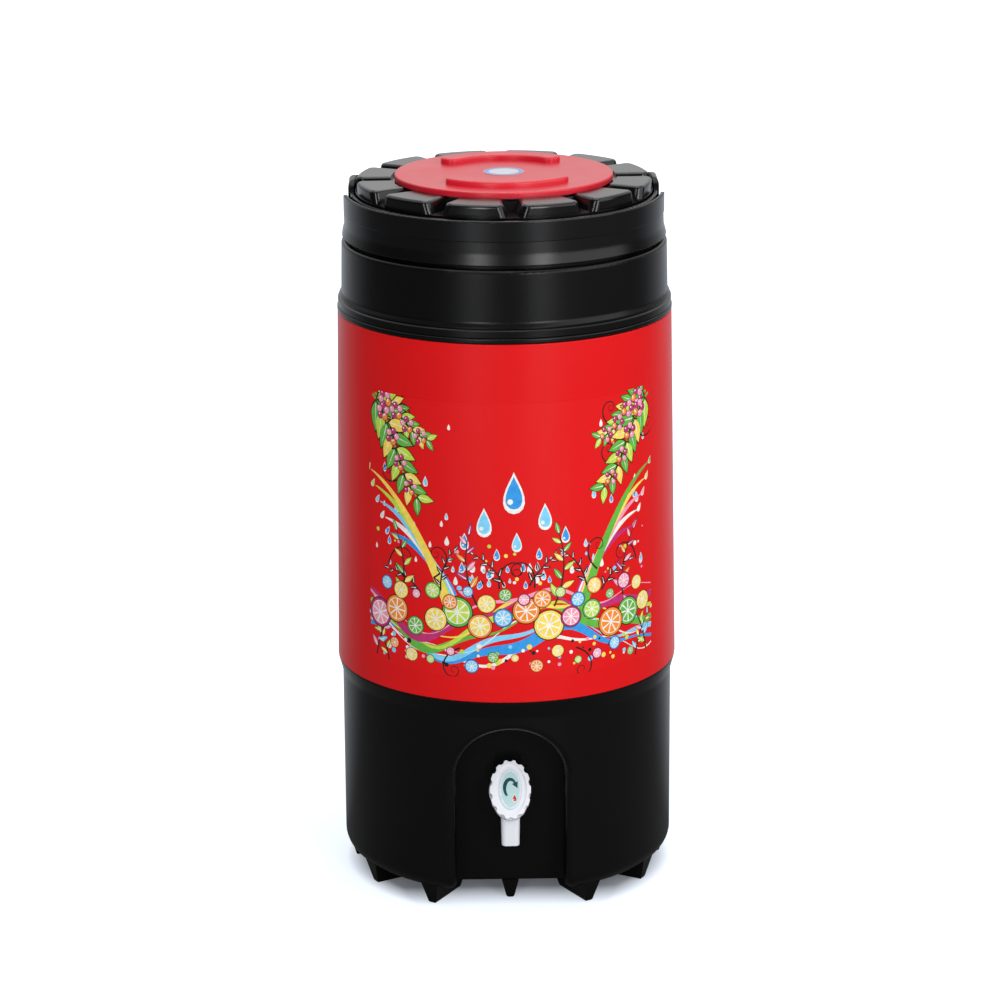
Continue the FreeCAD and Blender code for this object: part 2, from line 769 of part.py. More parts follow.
def make_shoulder_collar():
    """The shoulder: ribbed flange, shoulder wall, neck, two handle ears and the liner's ledge."""
    body = new_body("shoulder_collar")
    outside = sketch_on(body, "outside", "XZ_Plane")
    outline(outside, [
        (0, collar_bottom),
        (collar_spigot, collar_bottom),
        (collar_spigot, sleeve_top),
        (flange_radius, sleeve_top, d.flange_round),
        (flange_radius, flange_top, d.flange_round),
        (band_radius - d.bead_step / 2, flange_top + d.bead_step / 2),
        (band_radius, flange_top + d.bead_step, d.fine_round),
        (band_radius, band_top, d.fine_round),
        (band_radius - 1.4 * d.bead_step, band_top + d.bead_step),
        (band_radius - d.bead_step, band_top + 1.5 * d.bead_step, d.fine_round),
        (band_radius - d.bead_step, bead_top, d.fine_round),
        (shoulder_radius, shoulder_start, d.shoulder_blend),
        (shoulder_top_radius, shoulder_top, d.shoulder_round),
        (neck_radius, shoulder_top),
        (neck_radius, neck_top, d.neck_round),
        (0, neck_top),
    ])
    revolve(body, "solid_form", outside)
    for side, sign in SIDES.items():
        ear = sketch_on(body, side + "_ear_outline", "YZ_Plane", sign * ear_face)
        sill = shoulder_top - d.collar_wall / 2
        outline(ear, [
            (d.pivot_setback - d.ear_half_width, sill),
            (d.pivot_setback + d.ear_half_width, sill),
            (d.pivot_setback + d.ear_half_width, ear_top, d.ear_corner),
            (d.pivot_setback - d.ear_half_width, ear_top, d.ear_corner),
        ])
        extrude(body, side + "_ear", ear, d.ear_depth, reverse=sign > 0)
    for side, sign in SIDES.items():
        brow = sketch_on(body, side + "_brow_outline", "XZ_Plane")
        outline(brow, [
            (sign * (ear_face - 2 * d.ear_brow), ear_top),
            (sign * ear_face, ear_top, d.ear_brow),
            (sign * ear_face, ear_top - 2 * d.ear_brow),
            (sign * (ear_face + d.ear_brow), ear_top - 2 * d.ear_brow),
            (sign * (ear_face + d.ear_brow), ear_top + d.ear_brow),
            (sign * (ear_face - 2 * d.ear_brow), ear_top + d.ear_brow),
        ])
        extrude(body, side + "_brow", brow, cut=True, midplane=True)
    inside = sketch_on(body, "inside", "XZ_Plane")
    outline(inside, [
        (0, collar_bottom - d.overshoot),
        (collar_bore, collar_bottom - d.overshoot),
        (collar_bore, flange_top + d.flange_round),
        (shoulder_radius - d.collar_wall, shoulder_start),
        (shoulder_top_radius - d.collar_wall, shoulder_ceiling, d.shoulder_blend / 2),
        (lower_bore, shoulder_ceiling),
        (lower_bore, ledge_top - d.collar_wall),
        (liner_radius + d.seat_gap, ledge_top - d.collar_wall),
        (liner_radius + d.seat_gap, ledge_top),
        (neck_bore, ledge_top),
        (neck_bore, ear_top + d.overshoot),
        (0, ear_top + d.overshoot),
    ])
    revolve(body, "hollow", inside, cut=True)
    pin_hole = sketch_on(body, "pin_hole_outline", "YZ_Plane")
    circle(pin_hole, d.pivot_setback, pivot_z, d.pin_radius)
    extrude(body, "pin_holes", pin_hole, cut=True, midplane=True)
    return body


def make_inner_liner():
    """The water bucket: a narrow sump behind the tap recess, widening above it to the neck."""
    body = new_body("inner_liner")
    rim_radius = neck_bore - d.seat_gap
    outside = sketch_on(body, "outside", "XZ_Plane")
    outline(outside, [
        (0, liner_bottom),
        (sump_bottom_radius, liner_bottom, d.liner_round),
        (sump_radius, sump_top, d.liner_round),
        (liner_radius, liner_shoulder, d.liner_round),
        (liner_radius, ledge_top),
        (rim_radius, ledge_top),
        (rim_radius, rim_top, d.rim_edge),
        (0, rim_top),
    ])
    revolve(body, "solid_form", outside)
    boss = sketch_on(body, "boss_outline", "XZ_Plane", boss_front)
    circle(boss, 0, tap_height, d.boss_radius)
    extrude(body, "front_boss", boss, d.boss_depth, reverse=True)
    inside = sketch_on(body, "inside", "XZ_Plane")
    outline(inside, [
        (0, liner_bottom + d.liner_wall),
        (sump_bottom_radius - d.liner_wall, liner_bottom + d.liner_wall, d.liner_round - d.liner_wall),
        (sump_radius - d.liner_wall, sump_top, d.liner_round + d.liner_wall),
        (liner_radius - d.liner_wall, liner_shoulder, d.liner_round - d.liner_wall),
        (liner_radius - d.liner_wall, rim_top + d.overshoot),
        (0, rim_top + d.overshoot),
    ])
    revolve(body, "hollow", inside, cut=True)
    inner_boss = sketch_on(body, "inner_boss_outline", "XZ_Plane", boss_back)
    circle(inner_boss, 0, tap_height, d.boss_radius)
    extrude(body, "inner_boss", inner_boss, d.boss_depth / 2)
    shank_hole = sketch_on(body, "shank_hole_outline", "XZ_Plane", boss_front + d.overshoot)
    circle(shank_hole, 0, tap_height, d.shank_radius + d.seat_gap)
    extrude(body, "shank_hole", shank_hole, 2 * d.boss_depth, cut=True)
    return body


def make_insulation_foam():
    """The foam that fills the space between the liner and the outer mouldings."""
    body = new_body("insulation_foam")
    gap = d.seat_gap
    floor = base_floor + gap
    low_end = base_top + gap
    high_end = collar_bottom - gap
    outside = sketch_on(body, "outside", "XZ_Plane")
    outline(outside, [
        (0, floor),
        (base_bore - gap, floor, d.base_round - d.base_wall - gap),
        (base_bore - gap, low_end),
        (sleeve_outside(low_end) - d.sleeve_wall - gap, low_end),
        (sleeve_outside(high_end) - d.sleeve_wall - gap, high_end),
        (collar_bore - gap, high_end),
        (collar_bore - gap, flange_top + d.flange_round / 2),
        (shoulder_radius - d.collar_wall - 2 * gap, shoulder_start),
        (shoulder_top_radius - d.collar_wall - gap, shoulder_ceiling - gap, d.shoulder_blend / 2),
        (lower_bore - gap, shoulder_ceiling - gap),
        (lower_bore - gap, ledge_top - d.collar_wall - gap),
        (0, ledge_top - d.collar_wall - gap),
    ])
    revolve(body, "solid_form", outside)
    inside = sketch_on(body, "inside", "XZ_Plane")
    outline(inside, [
        (0, liner_bottom - gap),
        (sump_bottom_radius + gap, liner_bottom - gap, d.liner_round + gap),
        (sump_radius + gap, sump_top - gap, d.liner_round - gap),
        (liner_radius + gap, liner_shoulder - gap, d.liner_round + gap),
        (liner_radius + gap, ledge_top + d.overshoot),
        (0, ledge_top + d.overshoot),
    ])
    revolve(body, "hollow", inside, cut=True)
    housing = sketch_on(body, "housing_outline", "XZ_Plane", housing_back - gap)
    wall = d.base_wall + gap
    arch_outline(housing, d.recess_half_width + wall, d.recess_crown + wall, 0)
    extrude(body, "housing_space", housing, cut=True, reverse=True)
    boss = sketch_on(body, "boss_outline", "XZ_Plane", sump_bottom_radius / 2)
    circle(boss, 0, tap_height, d.boss_radius + gap)
    extrude(body, "boss_space", boss, cut=True, reverse=True)
    plug = sketch_on(body, "plug_outline", "XY_Plane", floor - d.overshoot)
    circle(plug, 0, 0, d.plug_radius + gap)
    extrude(body, "plug_space", plug, d.overshoot + gap, cut=True, reverse=True)
    return body


def hoop_outline(sketch):
    """The handle's section: a stepped band over a flared skirt."""
    waist = pivot_z + d.handle_height / 6
    outline(sketch, [
        (handle_bore, handle_bottom, d.handle_round / 2),
        (handle_radius + d.handle_flare, handle_bottom, d.handle_round / 2),
        (handle_radius - d.handle_step / 2, handle_bottom + d.skirt_height, d.skirt_blend),
        (handle_radius - d.handle_step, waist),
        (handle_radius, waist + d.handle_step),
        (handle_radius, handle_top, d.handle_round),
        (handle_bore, handle_top, d.handle_round),
    ])


def make_carry_handle():
    """The band handle: half a hoop and two straight arms that narrow to the pivots behind the middle."""
    body = new_body("carry_handle")
    hoop = sketch_on(body, "hoop_profile", "XZ_Plane")
    hoop_outline(hoop)
    revolve(body, "hoop", hoop)
    rear = sketch_on(body, "rear_outline", "YZ_Plane")
    reach = 2 * handle_radius
    outline(rear, [
        (0, handle_bottom - d.handle_lift),
        (reach, handle_bottom - d.handle_lift),
        (reach, handle_top + d.handle_lift),
        (0, handle_top + d.handle_lift),
    ])
    extrude(body, "rear_removed", rear, cut=True, midplane=True)
    section = sketch_on(body, "arm_section", "XZ_Plane")
    hoop_outline(section)
    arm = extrude(body, "right_arm", section, d.pivot_setback, reverse=True)
    mirrored(body, "arms", [arm])
    slope = sketch_on(body, "taper_outline", "YZ_Plane")
    outline(slope, [
        (-d.taper_start, handle_top),
        (d.pivot_setback, pivot_z + d.knuckle_radius),
        (d.pivot_setback + d.overshoot, pivot_z + d.knuckle_radius),
        (d.pivot_setback + d.overshoot, handle_top + d.overshoot),
        (-d.taper_start, handle_top + d.overshoot),
    ])
    extrude(body, "arm_taper", slope, cut=True, midplane=True)
    for side, sign in SIDES.items():
        disc = sketch_on(body, side + "_knuckle_outline", "YZ_Plane", sign * handle_radius)
        circle(disc, d.pivot_setback, pivot_z, d.knuckle_radius)
        extrude(body, side + "_knuckle", disc, d.handle_wall, reverse=sign > 0)
    pin_hole = sketch_on(body, "pin_hole_outline", "YZ_Plane")
    circle(pin_hole, d.pivot_setback, pivot_z, d.pin_radius + d.run_gap)
    extrude(body, "pin_holes", pin_hole, cut=True, midplane=True)
    for side, sign in SIDES.items():
        outside = handle_radius + 2 * d.handle_flare
        seat = sketch_on(body, side + "_head_outline", "YZ_Plane", sign * outside)
        circle(seat, d.pivot_setback, pivot_z, d.pin_head_radius + d.seat_gap)
        depth = d.pin_head + d.run_gap + 2 * d.handle_flare
        extrude(body, side + "_head_seat", seat, depth, cut=True, reverse=sign < 0)
    return body


def make_handle_pivot_pins():
    """Two headed pins, pressed into the ears; the handle turns on them."""
    body = new_body("handle_pivot_pins", d.pivot_setback, pivot_z)
    body.AllowCompound = True
    profile = sketch_on(body, "profile", "XZ_Plane")
    tip = half_chord(neck_bore, d.pivot_setback + d.pin_radius) + d.pin_reach
    outline(profile, [
        (tip, 0),
        (handle_radius, 0),
        (handle_radius, d.pin_head_radius, d.pin_edge),
        (handle_radius - d.pin_head, d.pin_head_radius),
        (handle_radius - d.pin_head, d.pin_radius),
        (tip, d.pin_radius, d.pin_edge),
    ])
    pin = revolve(body, "right_pin", profile, axis="H_Axis")
    mirrored(body, "pins", [pin])
    return body


def make_handle_washers():
    """A thin washer between each ear and its knuckle."""
    body = new_body("handle_washers", d.pivot_setback, pivot_z)
    body.AllowCompound = True
    ring = sketch_on(body, "ring_outline", "YZ_Plane", ear_face + d.run_gap)
    circle(ring, 0, 0, d.washer_radius)
    circle(ring, 0, 0, d.pin_radius + d.run_gap)
    washer = extrude(body, "right_washer", ring, d.washer_thickness)
    mirrored(body, "washers", [washer])
    return body


def turned_body(label, turn):
    """A body turned about the jug's axis."""
    body = new_body(label)
    body.Placement = FreeCAD.Placement(Vector(), FreeCAD.Rotation(Vector(0, 0, 1), float(turn)))
    bind(body, "Placement.Rotation.Angle", turn)
    return body


def make_lid_cap():
    """The lid: twelve lobes between notches round a raised hub, which carries the filler cap."""
    body = turned_body("lid_cap", d.lid_turn)
    section = sketch_on(body, "section", "XZ_Plane")
    outline(section, [
        (d.mouth_radius, lid_bottom),
        (lid_skirt_radius, lid_bottom),
        (lid_radius, notch_floor),
        (lobe_radius, notch_floor),
        (lobe_radius, lid_top),
        (hub_radius, lid_top),
        (hub_radius, hub_top),
        (seal_seat_radius, hub_top),
        (seal_seat_radius, seal_bottom),
        (d.mouth_radius, seal_bottom),
    ])
    revolve(body, "ring", section)
    notch = sketch_on(body, "notch_plan", "XY_Plane", lid_top)
    half = d.notch_width / 2
    outline(notch, [
        (half, d.overshoot - hub_radius),
        (half, -lid_radius - d.notch_reach),
        (-half, -lid_radius - d.notch_reach),
        (-half, d.overshoot - hub_radius),
    ])
    cut = extrude(body, "notch", notch, d.lobe_height, cut=True, draft=-d.notch_draft)
    polar(body, "notches", cut, d.lobe_count)
    round_edges(body, "lobe_corner_rounding", d.lobe_corner, lobe_corner_edge)
    round_edges(body, "lobe_rounding", d.lobe_round, lobe_top_edge)
    cavity = sketch_on(body, "cavity_outline", "XZ_Plane")
    outline(cavity, [
        (d.mouth_radius + d.lid_wall, lid_bottom - d.overshoot),
        (lid_skirt_radius - d.lid_wall, lid_bottom - d.overshoot),
        (lid_skirt_radius - d.lid_wall, notch_floor - d.lid_wall),
        (d.mouth_radius + d.lid_wall, notch_floor - d.lid_wall),
    ])
    revolve(body, "cavity", cavity, cut=True)
    return body


def lobe_corner_edge(edge):
    """Whether an edge is a lobe's outer corner at a notch."""
    on_wall = all(near(math.hypot(v.X, v.Y), lobe_radius) for v in edge.Vertexes)
    box = edge.BoundBox
    return on_wall and near(box.ZLength, d.lobe_height) and near(box.ZMax, lid_top)


def lobe_top_edge(edge):
    """Whether an edge bounds a lobe's top, other than at the hub."""
    on_hub = all(near(math.hypot(v.X, v.Y), hub_radius) for v in edge.Vertexes)
    return level_at(edge, lid_top) and not on_hub


def make_lid_inner_plate():
    """The ring that closes the lid from below."""
    body = new_body("lid_inner_plate")
    profile = sketch_on(body, "profile", "XZ_Plane")
    outer = lid_skirt_radius - d.plate_inset
    outline(profile, [
        (d.mouth_radius, plate_bottom, d.plate_edge),
        (outer, plate_bottom, d.plate_edge),
        (outer, lid_bottom),
        (d.mouth_radius, lid_bottom),
    ])
    revolve(body, "plate", profile)
    return body


def make_lid_foam():
    """The foam ring inside the lid."""
    body = new_body("lid_foam")
    profile = sketch_on(body, "profile", "XZ_Plane")
    inner = d.mouth_radius + d.lid_wall + d.seat_gap
    outer = lid_skirt_radius - d.lid_wall - d.seat_gap
    top = notch_floor - d.lid_wall - d.seat_gap
    outline(profile, [
        (inner, lid_bottom),
        (outer, lid_bottom),
        (outer, top),
        (inner, top),
    ])
    revolve(body, "ring", profile)
    return body


def make_lid_gasket():
    """The flat ring between the lid and the liner's rim."""
    body = new_body("lid_gasket")
    inner = liner_radius - d.liner_wall
    profile = sketch_on(body, "profile", "XZ_Plane")
    outline(profile, [
        (inner, rim_top),
        (inner + d.gasket_width, rim_top),
        (inner + d.gasket_width, plate_bottom),
        (inner, plate_bottom),
    ])
    revolve(body, "ring", profile)
    return body


def make_filler_cap():
    """The red cap: a round plate over a skirt, with two raised bent grips."""
    body = turned_body("filler_cap", d.lid_turn)
    profile = sketch_on(body, "profile", "XZ_Plane")
    outline(profile, [
        (0, cap_bottom),
        (cap_skirt_radius, cap_bottom),
        (cap_skirt_radius, seat_top),
        (cap_radius, seat_top, d.cap_under_round),
        (cap_radius, cap_top, d.cap_edge),
        (0, cap_top),
    ])
    revolve(body, "solid_form", profile)
    slot = sketch_on(body, "grip_outline", "XY_Plane", cap_top)
    bent_slot(slot, d.grip_radius, d.grip_half_width, d.grip_half_angle)
    grip = extrude(body, "grip", slot, d.grip_height)
    polar(body, "grips", grip, 2)
    grip_top = cap_top + d.grip_height
    round_edges(body, "grip_rounding", d.grip_round, lambda edge: level_at(edge, grip_top))
    inside = sketch_on(body, "inside", "XZ_Plane")
    outline(inside, [
        (0, cap_bottom - d.overshoot),
        (cap_bore, cap_bottom - d.overshoot),
        (cap_bore, seat_top),
        (0, seat_top),
    ])
    revolve(body, "hollow", inside, cut=True)
    return body


def make_cap_foam():
    """The foam disc inside the filler cap."""
    body = new_body("cap_foam", z=cap_bottom)
    disc = sketch_on(body, "disc_outline", "XY_Plane", d.cap_wall)
    circle(disc, 0, 0, cap_bore - d.seat_gap)
    extrude(body, "disc", disc, d.cap_skirt_depth - d.cap_wall)
    return body


def make_cap_inner_plate():
    """The disc that closes the filler cap from below."""
    body = new_body("cap_inner_plate", z=cap_bottom)
    profile = sketch_on(body, "profile", "XZ_Plane")
    radius = cap_bore - d.seat_gap
    outline(profile, [
        (0, 0),
        (radius, 0, d.plate_edge),
        (radius, d.cap_wall),
        (0, d.cap_wall),
    ])
    revolve(body, "disc", profile)
    return body


def make_cap_seal():
    """The flat ring between the filler cap and the lid."""
    body = new_body("cap_seal", z=seal_bottom)
    ring = sketch_on(body, "ring_outline", "XY_Plane")
    circle(ring, 0, 0, seal_bore + d.seal_width)
    circle(ring, 0, 0, seal_bore)
    extrude(body, "ring", ring, d.seal_thickness)
    return body


def make_cap_sticker():
    """The round sticker in the middle of the filler cap."""
    body = new_body("cap_sticker", z=cap_top)
    disc = sketch_on(body, "disc_outline", "XY_Plane")
    circle(disc, 0, 0, d.disc_radius)
    extrude(body, "disc", disc, d.disc_thickness)
    return body


def barrel_body(label):
    """A body placed at the tap's elbow and tilted, so that its own Y axis is the valve's axis."""
    body = new_body(label)
    body.Placement = FreeCAD.Placement(Vector(), FreeCAD.Rotation(Vector(-1, 0, 0), float(d.tap_tilt)))
    bind(body, "Placement.Rotation.Angle", d.tap_tilt)
    bind(body, "Placement.Base.y", -elbow_y)
    bind(body, "Placement.Base.z", tap_height)
    return body


def sketch_across_barrel(body, name, lift):
    """A sketch in the tap's body, square to the tilted barrel at a distance from the elbow's middle."""
    sketch = sketch_on(body, name, "XZ_Plane")
    tilt = FreeCAD.Rotation(Vector(-1, 0, 0), float(d.tap_tilt))
    sketch.AttachmentOffset = FreeCAD.Placement(Vector(), tilt)
    out, up = along(lift, d.tap_tilt)
    bind(sketch, "AttachmentOffset.Rotation.Angle", d.tap_tilt)
    bind(sketch, "AttachmentOffset.Base.y", up)
    bind(sketch, "AttachmentOffset.Base.z", elbow_y + out)
    doc.recompute()
    return sketch


def make_tap_body():
    """The tap: flange, shank through the walls, round elbow, tilted valve barrel and down spout."""
    body = new_body("tap_body", z=tap_height)
    profile = sketch_on(body, "profile", "YZ_Plane")
    outline(profile, [
        (-shank_end, 0),
        (-shank_end, d.shank_radius, d.tap_edge),
        (-flange_back, d.shank_radius),
        (-flange_back, d.tap_flange_radius),
        (-flange_front, d.tap_flange_radius, d.tap_edge),
        (-flange_front, d.elbow_neck),
        (-elbow_y, d.elbow_neck),
        (-elbow_y, 0),
    ])
    revolve(body, "turned_form", profile, axis="H_Axis")
    ball = body.newObject("PartDesign::AdditiveSphere", "elbow_ball")
    bind(ball, "Radius", d.elbow_radius)
    ball.AttachmentSupport = (plane_of(body, "XY_Plane"), [""])
    ball.MapMode = "FlatFace"
    bind(ball, "AttachmentOffset.Base.y", -elbow_y)
    finished(body, ball)
    barrel = sketch_across_barrel(body, "barrel_outline", Size(0))
    circle(barrel, 0, 0, d.elbow_radius)
    extrude(body, "barrel", barrel, d.barrel_length)
    spout = sketch_on(body, "spout_plan", "XY_Plane", -d.spout_length)
    outline(spout, [
        (-d.spout_half_width, -spout_y - d.spout_half_width, d.spout_corner),
        (d.spout_half_width, -spout_y - d.spout_half_width, d.spout_corner),
        (d.spout_half_width, -spout_y + d.spout_half_width, d.spout_corner),
        (-d.spout_half_width, -spout_y + d.spout_half_width, d.spout_corner),
    ])
    extrude(body, "spout", spout, d.spout_length, draft=d.spout_draft)
    round_edges(body, "spout_rounding", d.tap_edge, lambda edge: level_at(edge, -d.spout_length))
    shank_way = sketch_on(body, "shank_way_outline", "XZ_Plane", shank_end - d.overshoot)
    circle(shank_way, 0, 0, d.shank_bore)
    way_length = elbow_y - d.shank_way_stop - shank_end + d.overshoot
    extrude(body, "shank_way", shank_way, way_length, cut=True, reverse=True)
    chamber = sketch_across_barrel(body, "chamber_outline", -d.valve_back)
    circle(chamber, 0, 0, d.valve_radius + d.run_gap)
    chamber_length = d.valve_back + d.elbow_radius + d.overshoot
    extrude(body, "valve_chamber", chamber, chamber_length, cut=True, reverse=True)
    spout_way = sketch_on(body, "spout_way_outline", "XY_Plane", -d.spout_length - d.overshoot)
    circle(spout_way, 0, -spout_y, d.spout_bore)
    extrude(body, "spout_way", spout_way, d.spout_length + d.overshoot, cut=True, reverse=True)
    return body


def make_tap_valve():
    """The valve plug with its stem: hollow behind, with a side port that a quarter turn brings down."""
    body = barrel_body("tap_valve")
    back = d.valve_gap - d.valve_back
    front = d.barrel_length - d.valve_gap
    groove_front = front - d.ring_margin
    groove_back = groove_front - 2 * d.ring_section
    groove_floor = d.valve_radius - d.ring_section
    profile = sketch_on(body, "profile", "YZ_Plane")
    outline(profile, [
        (-back, 0),
        (-back, d.valve_radius),
        (-groove_back, d.valve_radius),
        (-groove_back, groove_floor),
        (-groove_front, groove_floor),
        (-groove_front, d.valve_radius),
        (-front, d.valve_radius),
        (-front, d.stem_radius),
        (-stem_end, d.stem_radius, d.pin_edge),
        (-stem_end, 0),
    ])
    revolve(body, "turned_form", profile, axis="H_Axis")
    bore = sketch_on(body, "bore_outline", "XZ_Plane", back - d.overshoot)
    circle(bore, 0, 0, d.valve_bore)
    extrude(body, "bore", bore, d.valve_bore_depth + d.overshoot, cut=True, reverse=True)
    port = sketch_on(body, "port_outline", "YZ_Plane")
    circle(port, d.port_setback, 0, d.port_radius)
    extrude(body, "port", port, 2 * d.valve_radius, cut=True, reverse=True)
    return body


def make_tap_o_ring():
    """The ring seal in the valve plug's groove."""
    body = barrel_body("tap_o_ring")
    middle = d.barrel_length - d.valve_gap - d.ring_margin - d.ring_section
    section = sketch_on(body, "section", "YZ_Plane")
    circle(section, -middle, d.valve_radius - d.ring_section / 2, (d.ring_section - d.run_gap) / 2)
    revolve(body, "ring", section, axis="H_Axis")
    return body


def make_tap_bonnet():
    """The ring on the barrel's end that keeps the valve plug in."""
    body = barrel_body("tap_bonnet")
    ring = sketch_on(body, "ring_outline", "XZ_Plane", d.barrel_length)
    circle(ring, 0, 0, d.elbow_radius - d.bonnet_inset)
    circle(ring, 0, 0, d.stem_radius + d.seat_gap)
    extrude(body, "ring", ring, d.bonnet_thickness)
    return body


def ring_on_shank(label, back, thickness, outer):
    """A flat ring round the tap's shank."""
    body = new_body(label, z=tap_height)
    ring = sketch_on(body, "ring_outline", "XZ_Plane", back)
    circle(ring, 0, 0, outer)
    circle(ring, 0, 0, d.shank_radius + d.seat_gap)
    extrude(body, "ring", ring, thickness)
    return body


def make_tap_gasket():
    """The gasket between the tap's flange and the recess wall."""
    return ring_on_shank("tap_gasket", recess_back, d.tap_gasket, d.tap_flange_radius)


def make_tap_washer():
    """The washer inside the liner, under the nut."""
    return ring_on_shank("tap_washer", nut_seat, d.tap_washer, d.nut_radius)


def make_tap_nut():
    """The hexagonal nut that clamps the tap from inside."""
    body = new_body("tap_nut", z=tap_height)
    hexagon = sketch_on(body, "hexagon_outline", "XZ_Plane", nut_end)
    corners = [along(d.nut_corner_radius, 60 * corner) for corner in range(6)]
    outline(hexagon, corners)
    extrude(body, "hexagon", hexagon, d.nut_thickness)
    bore = sketch_on(body, "bore_outline", "XZ_Plane", nut_end - d.overshoot)
    circle(bore, 0, 0, d.shank_radius + d.run_gap)
    extrude(body, "bore", bore, d.nut_thickness + 2 * d.overshoot, cut=True, reverse=True)
    return body


def make_tap_knob():
    """The knob: an upright oval cup with a smooth skirt, a ring of bumps and a dished face."""
    body = barrel_body("tap_knob")
    skirt_depth = d.knob_thickness - d.scallop_depth
    skirt = sketch_on(body, "skirt_outline", "XZ_Plane", knob_back)
    ellipse(skirt, skirt_half_width, skirt_half_height)
    extrude(body, "skirt", skirt, skirt_depth)
    face = sketch_on(body, "face_outline", "XZ_Plane", knob_back + skirt_depth)
    ellipse(face, d.knob_half_width, d.knob_half_height)
    extrude(body, "face", face, d.scallop_depth)
    scallops = sketch_on(body, "scallop_outline", "XZ_Plane", knob_front + d.overshoot)
    count = int(d.scallop_count)
    for index in range(count):
        angle = Size(360 * (index + 0.5) / count, "(360 * %s / Sizes.scallop_count)" % (index + 0.5))
        across = along(d.knob_half_width + d.scallop_offset, angle)[0]
        up = along(d.knob_half_height + d.scallop_offset, angle)[1]
        circle(scallops, across, up, d.scallop_radius)
    extrude(body, "scallops", scallops, d.scallop_depth + d.overshoot, cut=True)
    round_edges(body, "bump_rounding", d.knob_round, lambda edge: square_to_face(edge, knob_front))
    round_edges(body, "face_rounding", d.knob_edge, lambda edge: flat_at(edge, -knob_front))
    round_edges(body, "skirt_rounding", d.tap_edge, lambda edge: flat_at(edge, -knob_back))
    dish = sketch_on(body, "dish_outline", "XZ_Plane", knob_front + d.overshoot)
    ellipse(dish, d.knob_half_width - d.dish_margin, d.knob_half_height - d.dish_margin)
    extrude(body, "dish", dish, d.overshoot + d.knob_dish, cut=True)
    cup = sketch_on(body, "cup_outline", "XZ_Plane", knob_back - d.overshoot)
    circle(cup, 0, 0, d.elbow_radius + d.cup_gap)
    extrude(body, "cup", cup, knob_seat - knob_back + d.overshoot, cut=True, reverse=True)
    socket = sketch_on(body, "socket_outline", "XZ_Plane", knob_back - d.overshoot)
    circle(socket, 0, 0, d.stem_radius)
    extrude(body, "socket", socket, stem_end - knob_back + d.overshoot, cut=True, reverse=True)
    return body


def flat_at(edge, place):
    """Whether an edge lies in a plane square to the valve's axis, in the body's own frame."""
    box = edge.BoundBox
    return near(box.YMin, place) and near(box.YMax, place)


def square_to_face(edge, front):
    """Whether an edge of the knob runs straight back from its face between two scallops."""
    box = edge.BoundBox
    reaches_face = near(box.YMin, -front)
    straight = near(box.XLength, 0) and near(box.ZLength, 0)
    between = math.hypot(box.Center.x, box.Center.z) > float(d.stem_radius)
    return reaches_face and straight and between and near(box.YLength, d.scallop_depth)


def make_knob_sticker():
    """The pale oval set into the knob's face."""
    body = barrel_body("knob_sticker")
    oval = sketch_on(body, "oval_outline", "XZ_Plane", knob_front - d.knob_dish)
    ellipse(oval, d.badge_half_width, d.badge_half_height)
    extrude(body, "oval", oval, d.badge_thickness)
    return body


MAKERS = (
    make_base_shell,
    make_foam_plug,
    make_outer_shell,
    make_front_label,
    make_shoulder_collar,
    make_inner_liner,
    make_insulation_foam,
    make_carry_handle,
    make_handle_pivot_pins,
    make_handle_washers,
    make_lid_cap,
    make_lid_inner_plate,
    make_lid_foam,
    make_lid_gasket,
    make_filler_cap,
    make_cap_foam,
    make_cap_inner_plate,
    make_cap_seal,
    make_cap_sticker,
    make_tap_body,
    make_tap_valve,
    make_tap_o_ring,
    make_tap_bonnet,
    make_tap_gasket,
    make_tap_washer,
    make_tap_nut,
    make_tap_knob,
    make_knob_sticker,
)

nodes = [make() for make in MAKERS]
doc.recompute()
for item in doc.Objects:
    if "Invalid" in item.State or "Error" in item.State:
        raise RuntimeError("%s failed" % item.Label)
for node in nodes:
    if node.Shape.isNull() or not node.Shape.isValid():
        raise RuntimeError("%s has no valid shape" % node.Label)
os.makedirs("parts", exist_ok=True)
for node in nodes:
    node.Shape.exportStep("parts/%s.step" % node.Label)
    box = node.Shape.BoundBox
    print("%-18s %d %10.1f  x %.2f %.2f  y %.2f %.2f  z %.2f %.2f" % (
        node.Label, len(node.Shape.Solids), node.Shape.Volume,
        box.XMin, box.XMax, box.YMin, box.YMax, box.ZMin, box.ZMax))
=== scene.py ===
import json
import math
import random

import bpy
from mathutils import Matrix, Vector
from mathutils.geometry import delaunay_2d_cdt


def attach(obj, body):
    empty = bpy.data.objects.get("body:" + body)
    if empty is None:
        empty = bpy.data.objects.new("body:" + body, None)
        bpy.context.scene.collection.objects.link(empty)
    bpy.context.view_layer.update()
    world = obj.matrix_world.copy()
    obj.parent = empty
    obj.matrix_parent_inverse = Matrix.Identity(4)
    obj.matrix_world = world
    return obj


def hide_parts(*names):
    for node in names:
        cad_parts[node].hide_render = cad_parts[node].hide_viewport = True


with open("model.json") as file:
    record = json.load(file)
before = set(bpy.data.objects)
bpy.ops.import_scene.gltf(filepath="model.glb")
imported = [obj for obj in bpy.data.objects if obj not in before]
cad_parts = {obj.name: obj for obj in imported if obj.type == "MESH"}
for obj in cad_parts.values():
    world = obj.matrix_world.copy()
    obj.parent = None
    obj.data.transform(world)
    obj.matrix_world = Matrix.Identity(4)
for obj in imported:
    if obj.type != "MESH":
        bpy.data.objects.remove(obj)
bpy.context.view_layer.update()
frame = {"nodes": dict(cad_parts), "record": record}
random.seed(7)

MM = 0.001

# Camera: the photograph's view, fitted to the jug's rims, feet and red sleeve
LENS = 125.07
SENSOR = 36.0
CLIP_END = 50
PITCH = math.radians(16.17)
ROLL = math.radians(0.378)
JUG_TURN = math.radians(1.0)
AIM = Vector((-0.00469, 0.0, 0.3098))
DISTANCE = 2.8554

